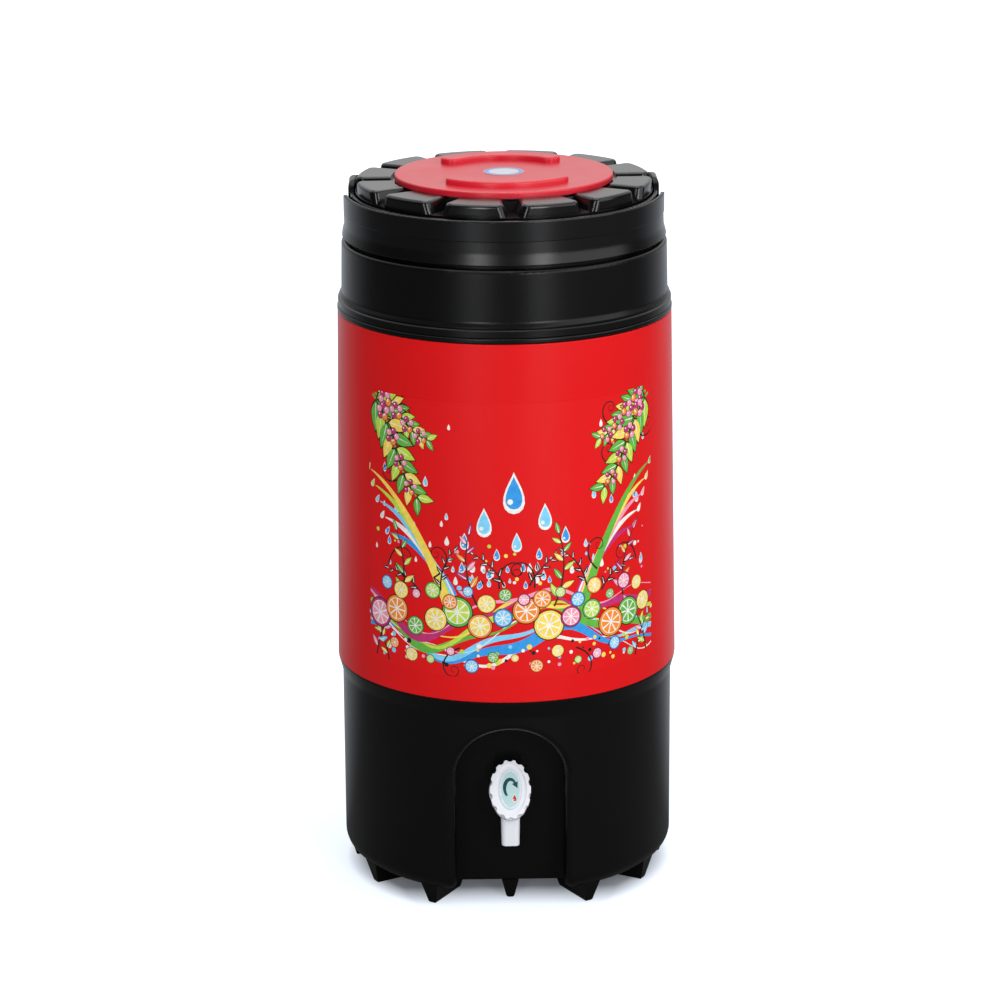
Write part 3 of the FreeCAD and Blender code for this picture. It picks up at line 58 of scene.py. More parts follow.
# The red sleeve, a cone, in millimetres
SLEEVE_BOTTOM = 182.5
SLEEVE_HEIGHT = 290.9
SLEEVE_RADIUS = 139.7
SLEEVE_TOP_RADIUS = 135.0

# The film on the sleeve's front, in millimetres and degrees
FILM_LIFT = 0.25
FILM_MIDDLE = 1.6
FILM_BOTTOM = 203.0
FILM_HEIGHT = 224.0
FILM_HALF = SLEEVE_RADIUS * math.radians(109.5) / 2
FILM_SIDE_INSET = 0.2
FILM_END_INSET = 0.4
FILM_CORNER = 4.0
CORNER_STEPS = 6
FILM_THICKNESS = 0.2
SHARP_EDGE = math.radians(30)

# The ink: its height over what it is printed on, and the width of its flat upright strips, in millimetres
INK_LIFT = 0.04
INK_STEP = 3.0
CUT_MARGIN = 10.0
SAME_POINT = 1e-4
SMALLEST_AREA = 0.01

# The knob's sticker leans back by this much, and its print keeps this far inside its edge, in millimetres
KNOB_TILT = math.radians(36.0)
KNOB_PRINT_INSET = 0.3
KNOB_RIM_INSET = 0.8
KNOB_RIM_WIDTH = 1.5

# Noise scales of moulded plastic: colour patches, uneven gloss, sink waves and grain
PATCH_SCALE = 9.0
GLOSS_SCALE = 22.0
GLOSS_STRETCH = (1, 1, 0.35)
SINK_SCALE = 18.0
SINK_STRENGTH = 0.02
SINK_DISTANCE = 0.004
GRAIN_SCALE = 1200.0
GRAIN_DISTANCE = 0.0003

# The studio behind the jug and above it, as mirrored rays see them: glow from, to, over which directions
BACK_GLOW = (0.05, 0.60, 0.35, 0.95)
ABOVE_GLOW = (0.0, 1.10, 0.40, 0.76)
ABOVE_AXIS = (0, 0.5, 1)
SCATTERED_GLOW = (0.40, 0.40, 0.41, 1)

# The floor: its half width in metres, its paint as rays see it and as mirrored rays do, darker there as
# painted shade in the jug's reflections, and its glow
FLOOR_HALF = 30.0
FLOOR_PAINT = (0.44, 0.46, 0.51, 1)
FLOOR_PAINT_SHADED_IN_REFLECTIONS = (0.12, 0.12, 0.12, 1)
FLOOR_GLOW = (0.86, 0.92, 1.0, 1)
# Each glow of the floor: strength from, to, over which places in metres. The glow is kept low under the
# jug's base, a painted shadow over the real one, and opens towards the front
PAINTED_SHADOW_FRONT_GLOW = (0.80, 0.0, -0.115, -0.072)
PAINTED_SHADOW_EDGE_GLOW = (0.08, 0.80, 0.116, 0.136)
FAR_GLOW = (0.0, 0.40, 0.13, 0.60)
HIGHLIGHT_SPOT_GLOW = (3.4, 0.0, 0.12, 0.38)
# Where the floor glows in spots that only mirrored rays see: painted highlights of the soft boxes on the
# handle band
HIGHLIGHT_SPOTS = ((-0.85, -1.85, 0), (0.74, -1.90, 0))

# Lamps: name, place, the height they look at, size and power
LAMPS = (
    ("box_left", (-0.98, -2.84, 1.15), 0.35, (0.55, 1.8), 23),
    ("box_right", (1.27, -2.72, 1.15), 0.35, (0.70, 1.8), 30),
    ("side_right", (2.4, -1.2, 1.6), 0.3, (3.0, 2.4), 36),
    ("behind", (0.3, 2.1, 3.1), 0.3, (1.6, 1.0), 14),
    ("top", (0.0, -0.1, 2.6), 0.3, (1.8, 1.8), 18),
)

# Layers of the print, of which a higher one covers a lower one
RIVER_LAYER = 0
DOT_LAYER = 9
SPRAY_LAYER = 10
LEAP_LAYER = 12
DROP_LAYER = 14
TENDRIL_LAYER = 22
TWIG_LAYER = 28
SPRIG_LAYER = 32
EDGE_SPRIG_LAYER = 34
FRUIT_LAYER = 40
STRAY_LAYER = 46
SMALL_FRUIT_LAYER = 50

# Fruit: rind and flesh
FRUIT = {
    "orange": ("orange", "orange"),
    "lemon": ("yellow", "yellow"),
    "lime": ("green", "lime"),
    "grapefruit": ("magenta", "pink"),
    "ice": ("blue", "sky"),
    "sour": ("green", "green"),
    "mixed": ("orange", "yellow"),
}
BIG_FRUIT = ("grapefruit", "orange", "sour", "lemon", "lime", "mixed", "ice", "orange", "lemon",
             "grapefruit", "lime", "orange", "sour", "lemon")
SMALL_FRUIT = ("ice", "lemon", "grapefruit", "lime", "orange", "ice", "lemon", "sour", "grapefruit",
               "orange", "lime", "ice", "mixed", "sour", "grapefruit", "lemon")
STRAY_FRUIT = tuple(FRUIT) + tuple(FRUIT)[:6]

# The river's ribbons: ink, height and width. Lengths on the label are in millimetres, from its foot's middle
RIVER_HALF = 132
RIBBONS = (
    ("white", 0, 3.0), ("blue", 4, 9.0), ("sky", 10, 4.5), ("white", 14, 1.8), ("green", 18, 6.5),
    ("lime", 23, 4.0), ("yellow", 27, 3.0), ("magenta", 31, 6.0), ("pink", 36, 2.8),
)
# Leaping ribbons: start, reach, rise and inks
LEAPS = (
    (-50, 66, -58, 44, ("blue", "white", "sky", "lime", "yellow")),
    (54, 66, 54, 46, ("magenta", "white", "pink", "yellow", "green")),
)
# Hanging vines: start, length, direction, bend and layer
VINES = (
    (-129, 220, 96, -30, -6.0, 24),
    (-126, 221, 66, 4, -7.0, 22),
    (130, 217, 90, 206, 5.6, 24),
    (127, 219, 64, 176, 7.0, 22),
)
# Sprigs: start, length, direction, bend, inks and layer
SPRIGS = (
    (-30, 60, 58, 118, -40, ("magenta", "pink", "orange"), SPRIG_LAYER),
    (32, 58, 60, 62, 44, ("green", "lime", "yellow"), SPRIG_LAYER),
    (-96, 58, 56, 76, 36, ("green", "lime", "yellow"), SPRIG_LAYER),
    (96, 58, 54, 100, -44, ("magenta", "pink", "orange"), SPRIG_LAYER),
    (-124, 6, 50, 82, -34, ("lime", "pink", "sky"), EDGE_SPRIG_LAYER),
    (-110, 4, 40, 100, 40, ("sky", "yellow", "lime"), EDGE_SPRIG_LAYER),
    (124, 6, 50, 98, 34, ("pink", "lime", "sky"), EDGE_SPRIG_LAYER),
    (110, 4, 40, 80, -40, ("yellow", "sky", "lime"), EDGE_SPRIG_LAYER),
)
# Dark twigs: start, direction and bend
TWIG_LENGTH = 36
TWIGS = ((-78, 66, 128, 50), (-60, 70, 96, -46), (74, 66, 60, -50), (60, 72, 98, 46), (-8, 76, 112, 40),
         (12, 76, 66, -40))
# Tendrils: start, direction and the way they wind
TENDRIL_SIZE = 32
TENDRILS = ((-66, 80, 30, 1), (-12, 74, 100, -1), (16, 74, 80, 1), (70, 84, 140, -1), (-110, 84, 80, -1),
            (112, 84, 100, 1), (-44, 24, 200, 1), (50, 22, -20, -1))
# Drops: place, size and ink
DROPS = ((-24, 128, 12, "sky"), (0, 152, 17, "blue"), (25, 132, 11, "sky"), (-40, 112, 7, "blue"),
         (42, 116, 7, "blue"), (2, 112, 8, "sky"), (-14, 102, 5, "blue"), (20, 102, 5, "blue"))
SPRAY_COUNT = 64
SPRAY_INKS = ("sky", "blue", "white")
DOT_COUNT = 110
DOT_INKS = ("white", "sky", "yellow", "pink", "lime", "black")


def set_camera():
    """The camera, placed as for a jug that stands turned by JUG_TURN."""
    forward = Vector((0, math.cos(PITCH), -math.sin(PITCH)))
    right = Vector((1, 0, 0))
    up = right.cross(forward)
    rolled_right = right * math.cos(ROLL) - up * math.sin(ROLL)
    rolled_up = right * math.sin(ROLL) + up * math.cos(ROLL)
    place = AIM - forward * DISTANCE
    axes = Matrix((rolled_right, rolled_up, -forward)).transposed().to_4x4()
    camera_data = bpy.data.cameras.new("camera")
    camera_data.lens = LENS
    camera_data.sensor_width = SENSOR
    camera_data.clip_end = CLIP_END
    camera = bpy.data.objects.new("camera", camera_data)
    bpy.context.scene.collection.objects.link(camera)
    camera.matrix_world = Matrix.Rotation(-JUG_TURN, 4, "Z") @ Matrix.Translation(place) @ axes
    bpy.context.scene.camera = camera


def new_material(name):
    """An empty node material with its shader."""
    material = bpy.data.materials.new(name)
    material.use_nodes = True
    nodes = material.node_tree.nodes
    shader = nodes["Principled BSDF"]
    return material, nodes, material.node_tree.links, shader


def object_place(nodes):
    """The place on an object, in its own metres."""
    return nodes.new("ShaderNodeTexCoord").outputs["Object"]


def maths(nodes, links, operation, *values):
    """The result of a calculation with values from other nodes."""
    node = nodes.new("ShaderNodeMath")
    node.operation = operation
    for value, socket in zip(values, node.inputs):
        links.new(value, socket)
    return node.outputs["Value"]


def vector_maths(nodes, links, operation, vector, other=None):
    """A calculation with a vector from another node and a fixed one."""
    node = nodes.new("ShaderNodeVectorMath")
    node.operation = operation
    links.new(vector, node.inputs[0])
    if other is not None:
        node.inputs[1].default_value = other
    return node


def backward(nodes, links, vector):
    """How far a vector goes to the back."""
    parts = nodes.new("ShaderNodeSeparateXYZ")
    links.new(vector, parts.inputs["Vector"])
    return parts.outputs["Y"]


def noise(nodes, links, scale, detail=3.0, stretch=(1, 1, 1)):
    """A noise texture in the object's own metres."""
    mapping = nodes.new("ShaderNodeMapping")
    mapping.inputs["Scale"].default_value = stretch
    texture = nodes.new("ShaderNodeTexNoise")
    texture.inputs["Scale"].default_value = scale
    texture.inputs["Detail"].default_value = detail
    links.new(object_place(nodes), mapping.inputs["Vector"])
    links.new(mapping.outputs["Vector"], texture.inputs["Vector"])
    return texture.outputs["Fac"]


def spread(nodes, links, value, low, high, start=0.3, end=0.7):
    """A value brought from one range into another."""
    remap = nodes.new("ShaderNodeMapRange")
    remap.inputs["From Min"].default_value = start
    remap.inputs["From Max"].default_value = end
    remap.inputs["To Min"].default_value = low
    remap.inputs["To Max"].default_value = high
    links.new(value, remap.inputs["Value"])
    return remap.outputs["Result"]


def bump(nodes, links, height, strength, distance, under=None):
    """A bump, laid over another one where there is one."""
    node = nodes.new("ShaderNodeBump")
    node.inputs["Strength"].default_value = strength
    node.inputs["Distance"].default_value = distance
    links.new(height, node.inputs["Height"])
    if under is not None:
        links.new(under, node.inputs["Normal"])
    return node.outputs["Normal"]


def tinted(nodes, links, colour, patch, scale=PATCH_SCALE):
    """A colour that wanders a little from place to place."""
    tint = nodes.new("ShaderNodeMixRGB")
    tint.inputs["Color1"].default_value = (*[c * (1 - patch) for c in colour], 1)
    tint.inputs["Color2"].default_value = (*[min(1.0, c * (1 + patch)) for c in colour], 1)
    links.new(spread(nodes, links, noise(nodes, links, scale), 0, 1), tint.inputs["Fac"])
    return tint.outputs["Color"]


def moulded(name, colour, roughness, level=0.5, grain=0.05, patch=0.08):
    """Moulded plastic: soft sink waves, a fine grain, uneven gloss and a little colour variation."""
    material, nodes, links, shader = new_material(name)
    shader.inputs["Specular IOR Level"].default_value = level
    links.new(tinted(nodes, links, colour, patch), shader.inputs["Base Color"])
    gloss = noise(nodes, links, GLOSS_SCALE, 4.0, GLOSS_STRETCH)
    uneven = spread(nodes, links, gloss, roughness * 0.9, roughness * 1.12)
    links.new(uneven, shader.inputs["Roughness"])
    sinks = noise(nodes, links, SINK_SCALE, 1.0)
    soft = bump(nodes, links, sinks, SINK_STRENGTH, SINK_DISTANCE)
    fine = bump(nodes, links, noise(nodes, links, GRAIN_SCALE, 2.0), grain, GRAIN_DISTANCE, soft)
    links.new(fine, shader.inputs["Normal"])
    return material


def foam_material(name, colour):
    """Rigid foam with its cells."""
    material, nodes, links, shader = new_material(name)
    shader.inputs["Roughness"].default_value = 0.95
    links.new(tinted(nodes, links, colour, 0.08, 30.0), shader.inputs["Base Color"])
    cells = nodes.new("ShaderNodeTexVoronoi")
    cells.inputs["Scale"].default_value = 700.0
    links.new(object_place(nodes), cells.inputs["Vector"])
    links.new(bump(nodes, links, cells.outputs["Distance"], 0.5, 0.001), shader.inputs["Normal"])
    return material


def printed(nodes, links, shader, gloss, grain):
    """The gloss and the fine grain of something printed."""
    links.new(spread(nodes, links, noise(nodes, links, 60.0), *gloss), shader.inputs["Roughness"])
    scale, detail, strength, distance = grain
    texture = noise(nodes, links, scale, detail)
    links.new(bump(nodes, links, texture, strength, distance), shader.inputs["Normal"])


def ink(name, colour):
    """Glossy printing ink on the film, with a faint halftone grain."""
    material, nodes, links, shader = new_material(name)
    shader.inputs["Specular IOR Level"].default_value = 0.5
    links.new(tinted(nodes, links, colour, 0.10, 260.0), shader.inputs["Base Color"])
    printed(nodes, links, shader, (0.24, 0.32), (3000.0, 1.0, 0.03, 0.0001))
    return material


def ringed(name, middle, ring, edge, centre):
    """A round sticker: a pale middle, a coloured ring and a thin edge, by distance from its centre."""
    material, nodes, links, shader = new_material(name)
    reach = 0.020
    inner = 0.62
    outer = 0.80
    blur = 0.02
    away = vector_maths(nodes, links, "DISTANCE", object_place(nodes), centre)
    ramp = nodes.new("ShaderNodeValToRGB")
    first, last = ramp.color_ramp.elements
    first.position = 0.0
    first.color = (*middle, 1)
    last.position = 1.0
    last.color = (*edge, 1)
    for place, colour in ((inner - blur, middle), (inner, ring), (outer - blur, ring), (outer, edge)):
        ramp.color_ramp.elements.new(place).color = (*colour, 1)
    links.new(spread(nodes, links, away.outputs["Value"], 0, 1, 0, reach), ramp.inputs["Fac"])
    links.new(ramp.outputs["Color"], shader.inputs["Base Color"])
    printed(nodes, links, shader, (0.26, 0.36), (500.0, 2.0, 0.04, 0.0002))
    return material


MATERIALS = {
    "black_moulding": moulded("black_moulding", (0.0020, 0.0020, 0.0021), 0.27, level=0.25),
    "black_gloss": moulded("black_gloss", (0.0020, 0.0020, 0.0021), 0.19, level=0.46),
    "black_handle": moulded("black_handle", (0.0022, 0.0022, 0.0024), 0.25, level=0.36),
    "red_sleeve": moulded("red_sleeve", (0.68, 0.004, 0.005), 0.34, level=0.20, grain=0.02, patch=0.03),
    "red_cap": moulded("red_cap", (0.60, 0.011, 0.027), 0.32, grain=0.04, patch=0.04),
    "printed_film": moulded("printed_film", (0.69, 0.005, 0.006), 0.36, level=0.20, grain=0.02, patch=0.02),
    "white_liner": moulded("white_liner", (0.80, 0.81, 0.80), 0.40),
    "foam": foam_material("foam", (0.78, 0.70, 0.48)),
    "white_nylon": moulded("white_nylon", (0.78, 0.78, 0.74), 0.45),
    "white_tap": moulded("white_tap", (0.80, 0.81, 0.85), 0.30, patch=0.02),
    "grey_rubber": moulded("grey_rubber", (0.40, 0.41, 0.42), 0.60),
}
NODE_LOOKS = {
    "cap_sticker": ringed(
        "cap_sticker_print", middle=(0.58, 0.62, 0.66), ring=(0.12, 0.30, 0.62), edge=(0.55, 0.30, 0.34),
        centre=(0, 0, 583.6 * MM)),
    "knob_sticker": moulded("knob_sticker_print", (0.46, 0.66, 0.67), 0.30, patch=0.03),
}
INKS = {
    "blue": ink("ink_blue", (0.030, 0.30, 0.72)),
    "sky": ink("ink_sky", (0.20, 0.60, 0.86)),
    "green": ink("ink_green", (0.12, 0.44, 0.05)),
    "lime": ink("ink_lime", (0.50, 0.70, 0.06)),
    "yellow": ink("ink_yellow", (0.88, 0.66, 0.10)),
    "orange": ink("ink_orange", (0.86, 0.26, 0.02)),
    "magenta": ink("ink_magenta", (0.50, 0.025, 0.16)),
    "pink": ink("ink_pink", (0.86, 0.32, 0.44)),
    "white": ink("ink_white", (0.84, 0.82, 0.76)),
    "black": ink("ink_black", (0.016, 0.010, 0.010)),
}
KNOB_INKS = {
    "teal": ink("ink_teal", (0.010, 0.060, 0.075)),
    "pale": ink("ink_pale", (0.72, 0.74, 0.80)),
    "white": INKS["white"],
    "red": ink("ink_red", (0.55, 0.030, 0.035)),
}


def dress_nodes():
    """Each CAD node gets its own look, or the material of its slot."""
    slots = {item["node"]: item["material_slot"] for item in frame["record"]["subparts"]}
    for node, piece in frame["nodes"].items():
        piece.data.materials.clear()
        piece.data.materials.append(NODE_LOOKS.get(node, MATERIALS[slots[node]]))


def film_point(across, height, lift):
    """A place of the flat film, in millimetres from its foot's middle, on the sleeve's cone."""
    z = FILM_BOTTOM + height
    taper = SLEEVE_RADIUS - SLEEVE_TOP_RADIUS
    out = SLEEVE_RADIUS - taper * (z - SLEEVE_BOTTOM) / SLEEVE_HEIGHT + lift
    strip = math.floor(across / INK_STEP)
    ends = []
    for edge in (strip, strip + 1):
        angle = math.radians(FILM_MIDDLE) + edge * INK_STEP / SLEEVE_RADIUS
        ends.append(Vector((out * math.sin(angle), -out * math.cos(angle), z)))
    return ends[0].lerp(ends[1], across / INK_STEP - strip) * MM


def rotated(x, y, px, py, turn):
    """A point of a shape that is turned about its own start and placed."""
    c = math.cos(math.radians(turn))
    s = math.sin(math.radians(turn))
    return (x + px * c - py * s, y + px * s + py * c)


def winding(x, y, turn, steps, length, bend):
    """A path with its direction at each of its points, whose bend depends on the step."""
    path = []
    for n in range(steps + 1):
        path.append((x, y, turn))
        turn += bend(n)
        x, y = rotated(x, y, length(n), 0, turn)
    return path


class Print:
    """Flat inked shapes, of which the upper ones cover the lower, wrapped round the jug as one skin."""

    def __init__(self):
        self.shapes = []

    def face(self, points, colour, layer):
        """One inked polygon."""
        area = sum(a[0] * b[1] - b[0] * a[1] for a, b in zip(points, points[1:] + points[:1]))
        if abs(area) > SMALLEST_AREA:
            self.shapes.append((layer, len(self.shapes), points if area > 0 else points[::-1], colour))

    def disc(self, x, y, radius, colour, layer, sides=20):
        """A round dot."""
        turns = [2 * math.pi * n / sides for n in range(sides)]
        self.face([(x + radius * math.cos(t), y + radius * math.sin(t)) for t in turns], colour, layer)

    def band(self, path, width, colour, layer):
        """A band along a path, whose width depends on how far along it is."""
        rows = []
        last = len(path) - 1
        for n, (x, y) in enumerate(path):
            ahead = path[min(n + 1, last)]
            behind = path[max(n - 1, 0)]
            run = Vector((ahead[0] - behind[0], ahead[1] - behind[1])).normalized()
            half = width(n / last) / 2
            rows.append(((x - run.y * half, y + run.x * half), (x + run.y * half, y - run.x * half)))
        for first, second in zip(rows, rows[1:]):
            self.face([first[0], first[1], second[1], second[0]], colour, layer)

    def leaf(self, x, y, length, turn, colour, layer, wide=0.36):
        """A leaf with a dark edge and a pale vein."""
        steps = 8
        for grown, shade, level in ((1.0, "black", layer), (0.86, colour, layer + 1)):
            sides = []
            for sign in (1, -1):
                side = []
                for n in range(steps + 1):
                    along = n / steps
                    half = wide * length * grown * math.sin(math.pi * along ** 0.8) * sign / 2
                    reach = length * ((1 - grown) / 2 + grown * along)
                    side.append((reach, half))
                sides.append(side)
            outline = sides[0] + sides[1][-2:0:-1]
            self.face([rotated(x, y, px, py, turn) for px, py in outline], shade, level)
        vein = [rotated(x, y, length * (0.14 + 0.60 * n / 3), 0, turn) for n in range(4)]
        self.band(vein, lambda t: 0.7 * (1 - t) + 0.2, "white", layer + 2)

    def drop(self, x, y, size, colour, layer, turn=90):
        """A water drop with a pale rim and a glint."""
        sides = 18
        for grown, shade, level in ((1.0, "white", layer), (0.78, colour, layer + 1)):
            outline = []
            for n in range(sides):
                t = 2 * math.pi * n / sides
                px = size * grown * math.cos(t)
                py = size * grown * 0.72 * math.sin(t) * math.sin(t / 2) ** 1.4
                outline.append(rotated(x, y, px, py, turn))
            self.face(outline, shade, level)
        glint = rotated(x, y, -0.42 * size, 0.18 * size, turn)
        self.disc(*glint, 0.14 * size, "white", layer + 2, 8)

    def slice(self, x, y, radius, rind, flesh, layer, turn=0):
        """A slice of citrus: rind, pith and eight segments."""
        for order, (share, colour) in enumerate(((1, "black"), (0.93, rind), (0.77, "white"))):
            self.disc(x, y, radius * share, colour, layer + order, 26)
        segments = 8
        for n in range(segments):
            middle = turn + 360 * n / segments
            outline = [rotated(x, y, radius * 0.10, 0, middle)]
            for swing in (-18, -9, 0, 9, 18):
                outline.append(rotated(x, y, radius * 0.72, 0, middle + swing))
            self.face(outline, flesh, layer + 3)

    def berry(self, x, y, radius, colour, layer):
        """A round berry with a dark edge and a glint."""
        self.disc(x, y, radius, "black", layer, 16)
        self.disc(x, y, radius * 0.86, colour, layer + 1, 16)
        self.disc(x - 0.3 * radius, y + 0.3 * radius, radius * 0.24, "white", layer + 2, 8)

    def curl(self, x, y, size, turn, way, layer):
        """A thin dark tendril that winds in on itself."""
        path = winding(x, y, turn, 26, lambda n: size * (1 - 0.025 * n) / 10, lambda n: way * (4 + 1.3 * n))
        self.band([spot[:2] for spot in path], lambda t: 1.1 * (1 - t) + 0.35, "black", layer)

    def laid_out(self, half, tall):
        """The shapes laid over each other in the plane and cut into strips: points, faces and inks."""
        points = []
        outlines = []
        self.shapes.sort(key=lambda shape: shape[:2])
        for _, _, outline, _ in self.shapes:
            outlines.append(list(range(len(points), len(points) + len(outline))))
            points.extend(Vector(corner) for corner in outline)
        cuts = int(half / INK_STEP)
        uprights = [cut * INK_STEP for cut in range(-cuts, cuts + 1)]
        lines = [((x, -CUT_MARGIN), (x, tall + CUT_MARGIN)) for x in (-half, *uprights, half)]
        lines += [((-half - CUT_MARGIN, y), (half + CUT_MARGIN, y)) for y in (0.0, tall)]
        edges = []
        for line in lines:
            edges.append((len(points), len(points) + 1))
            points.extend(Vector(end) for end in line)
        spots, _, faces, _, _, sources = delaunay_2d_cdt(points, edges, outlines, 0, SAME_POINT)
        kept = []
        shades = []
        for face, source in zip(faces, sources):
            across = sum(spots[v].x for v in face) / len(face)
            height = sum(spots[v].y for v in face) / len(face)
            if source and abs(across) < half and 0.0 < height < tall:
                kept.append(face)
                shades.append(self.shapes[max(source)][3])
        return spots, kept, shades

    def piece(self, name, wrap, inks, half, tall, body="jug"):
        """The finished skin: the plane's faces, wrapped and inked."""
        spots, faces, shades = self.laid_out(half, tall)
        used = sorted({v for face in faces for v in face})
        place = {v: n for n, v in enumerate(used)}
        mesh = bpy.data.meshes.new(name)
        wrapped = [wrap(spots[v].x, spots[v].y) for v in used]
        mesh.from_pydata(wrapped, [], [[place[v] for v in face] for face in faces])
        for material in inks.values():
            mesh.materials.append(material)
        order = list(inks)
        for polygon, shade in zip(mesh.polygons, shades):
            polygon.material_index = order.index(shade)
            polygon.use_smooth = True
        skin = bpy.data.objects.new(name, mesh)
        bpy.context.scene.collection.objects.link(skin)
        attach(skin, body)
        return skin


def sprig(sheet, x, y, length, lean, bend, colours, layer):
    """A bent stem with leaves in pairs and one at its tip."""
    steps = 16
    path = winding(x, y, lean, steps, lambda n: length / steps, lambda n: bend / steps)
    sheet.band([spot[:2] for spot in path], lambda t: 1.5 - 0.9 * t, "black", layer)
    for n in range(2, steps, 2):
        lx, ly, way = path[n]
        size = length * (0.26 - 0.10 * n / steps)
        side = 1 if (n // 2) % 2 else -1
        sheet.leaf(lx, ly, size, way + side * 48, colours[(n // 2) % len(colours)], layer + 1)
    tip_x, tip_y, way = path[-1]
    sheet.leaf(tip_x, tip_y, length * 0.2, way, colours[0], layer + 1)


def river(sheet):
    """Ribbons that flow in waves across the foot of the film."""
    steps = 110
    for order, (colour, lift, width) in enumerate(RIBBONS):
        path = []
        for n in range(steps + 1):
            x = -RIVER_HALF + 2 * RIVER_HALF * n / steps
            swell = 11 * math.sin(x / 26.0 + 0.05 * lift) + 4 * math.sin(x / 11.0 + lift)
            path.append((x, 22 + lift * (1.0 + 0.35 * math.sin(x / 40.0)) + swell))
        layer = RIVER_LAYER + order
        sheet.band(path, lambda t, w=width: w * (0.65 + 0.45 * math.sin(9 * t + w)), colour, layer)


def leaping(sheet, x, y, reach, rise, colours):
    """Ribbons that leap out of the river side by side and end in drops."""
    steps = 18
    for order, colour in enumerate(colours):
        path = []
        for n in range(steps + 1):
            t = n / steps
            px = x + reach * (t + 0.10 * order * t)
            py = y + (rise + 12 * order) * math.sin(0.5 * math.pi * t ** 0.8) - 5.5 * order * (1 - t)
            path.append((px, py))
        sheet.band(path, lambda t: 7.5 * (1 - t) ** 0.7 + 0.6, colour, LEAP_LAYER + order)
        tip_x, tip_y = path[-1]
        sheet.drop(tip_x + 3 * reach / abs(reach), tip_y + 2, 4.0, colour, LEAP_LAYER + 8, 60)


def vine(sheet, x, y, length, lean, bend, layer):
    """A hanging stem with pairs of leaves, bunches of berries and tendrils."""
    steps = 18
    path = winding(x, y, lean, steps, lambda n: length / steps, lambda n: bend * math.cos(3.0 * n / steps))
    sheet.band([spot[:2] for spot in path], lambda t: 1.9 - 1.1 * t, "green", layer)
    for n in range(1, steps, 2):
        lx, ly, way = path[n]
        size = length * (0.30 - 0.13 * n / steps)
        for side in (1, -1):
            shade = ("green", "lime", "green", "yellow")[(n // 2 + (side > 0)) % 4]
            sheet.leaf(lx, ly, size, way + side * (56 - n), shade, layer + 1, 0.46)
    for n in (3, 7, 11, 15):
        bx, by, way = path[n]
        for k, shade in enumerate(("magenta", "pink", "magenta", "pink", "magenta", "orange")):
            spot = rotated(bx, by, 4.6 * math.cos(1.2 * k) + 1.5, 4.6 * math.sin(1.2 * k), way)
            sheet.berry(*spot, 3.6 - 0.09 * n, shade, layer + 5)
    for n, size, side in ((6, 34, 1), (13, 28, -1)):
        cx, cy, way = path[n]
        sheet.curl(cx, cy, size, way + side * 60, side, layer)


def swaying(n, middle, swing, rate, start=0):
    """A value that sways along a row."""
    return middle + swing * math.sin(rate * n + start)


def fruit_row(sheet, kinds, half, height, radius, spin, layer, swell=0, stagger=0):
    """Slices of fruit side by side, whose height and radius sway along the row."""
    last = len(kinds) - 1
    for n, kind in enumerate(kinds):
        x = -half + 2 * half * n / last
        y = swaying(n, *height) + swell * math.cos(x / 40)
        sheet.slice(x, y, swaying(n, *radius), *FRUIT[kind], layer + stagger * (n % 2), spin * n)


def spray(sheet):
    """Small drops over the river, fewer of them high up in the middle."""
    for n in range(SPRAY_COUNT):
        x = random.uniform(-124, 124)
        y = random.uniform(78, 206)
        if abs(x) < 50 and y > 92:
            y = random.uniform(76, 94)
        sheet.drop(x, y, random.uniform(2.2, 4.6), SPRAY_INKS[n % len(SPRAY_INKS)], SPRAY_LAYER)


def dots(sheet):
    """Dots above the river, and some below it."""
    for n in range(DOT_COUNT):
        x = random.uniform(-126, 126)
        y = random.uniform(8, 28) if n % 3 else random.uniform(72, 112)
        sheet.disc(x, y, random.uniform(0.8, 2.3), random.choice(DOT_INKS), DOT_LAYER, 10)


def print_label():
    """The print on the red film: generic fruit, leaves, berries, drops and ribbons."""
    sheet = Print()
    river(sheet)
    for leap in LEAPS:
        leaping(sheet, *leap)
    for stem in VINES:
        vine(sheet, *stem)
    for stem in SPRIGS:
        sprig(sheet, *stem)
    for x, y, lean, bend in TWIGS:
        sprig(sheet, x, y, TWIG_LENGTH, lean, bend, ("black",), TWIG_LAYER)
    for x, y, turn, way in TENDRILS:
        sheet.curl(x, y, TENDRIL_SIZE, turn, way, TENDRIL_LAYER)
    fruit_row(sheet, BIG_FRUIT, 120, (46, 7, 2.1), (10.5, 2.6, 1.7, 1), 17, FRUIT_LAYER, swell=4, stagger=4)
    fruit_row(sheet, SMALL_FRUIT, 112, (66, 5, 2.7, 0.6), (6.0, 1.8, 2.3), 31, SMALL_FRUIT_LAYER)
    fruit_row(sheet, STRAY_FRUIT, 104, (15, 6, 2.4, 1), (4.6, 1.3, 1.9), 23, STRAY_LAYER)
    for x, y, size, colour in DROPS:
        sheet.drop(x, y, size, colour, DROP_LAYER)
    spray(sheet)
    dots(sheet)
    lift = FILM_LIFT + INK_LIFT
    sheet.piece("label_print", lambda x, y: film_point(x, y, lift), INKS, FILM_HALF, FILM_HEIGHT)


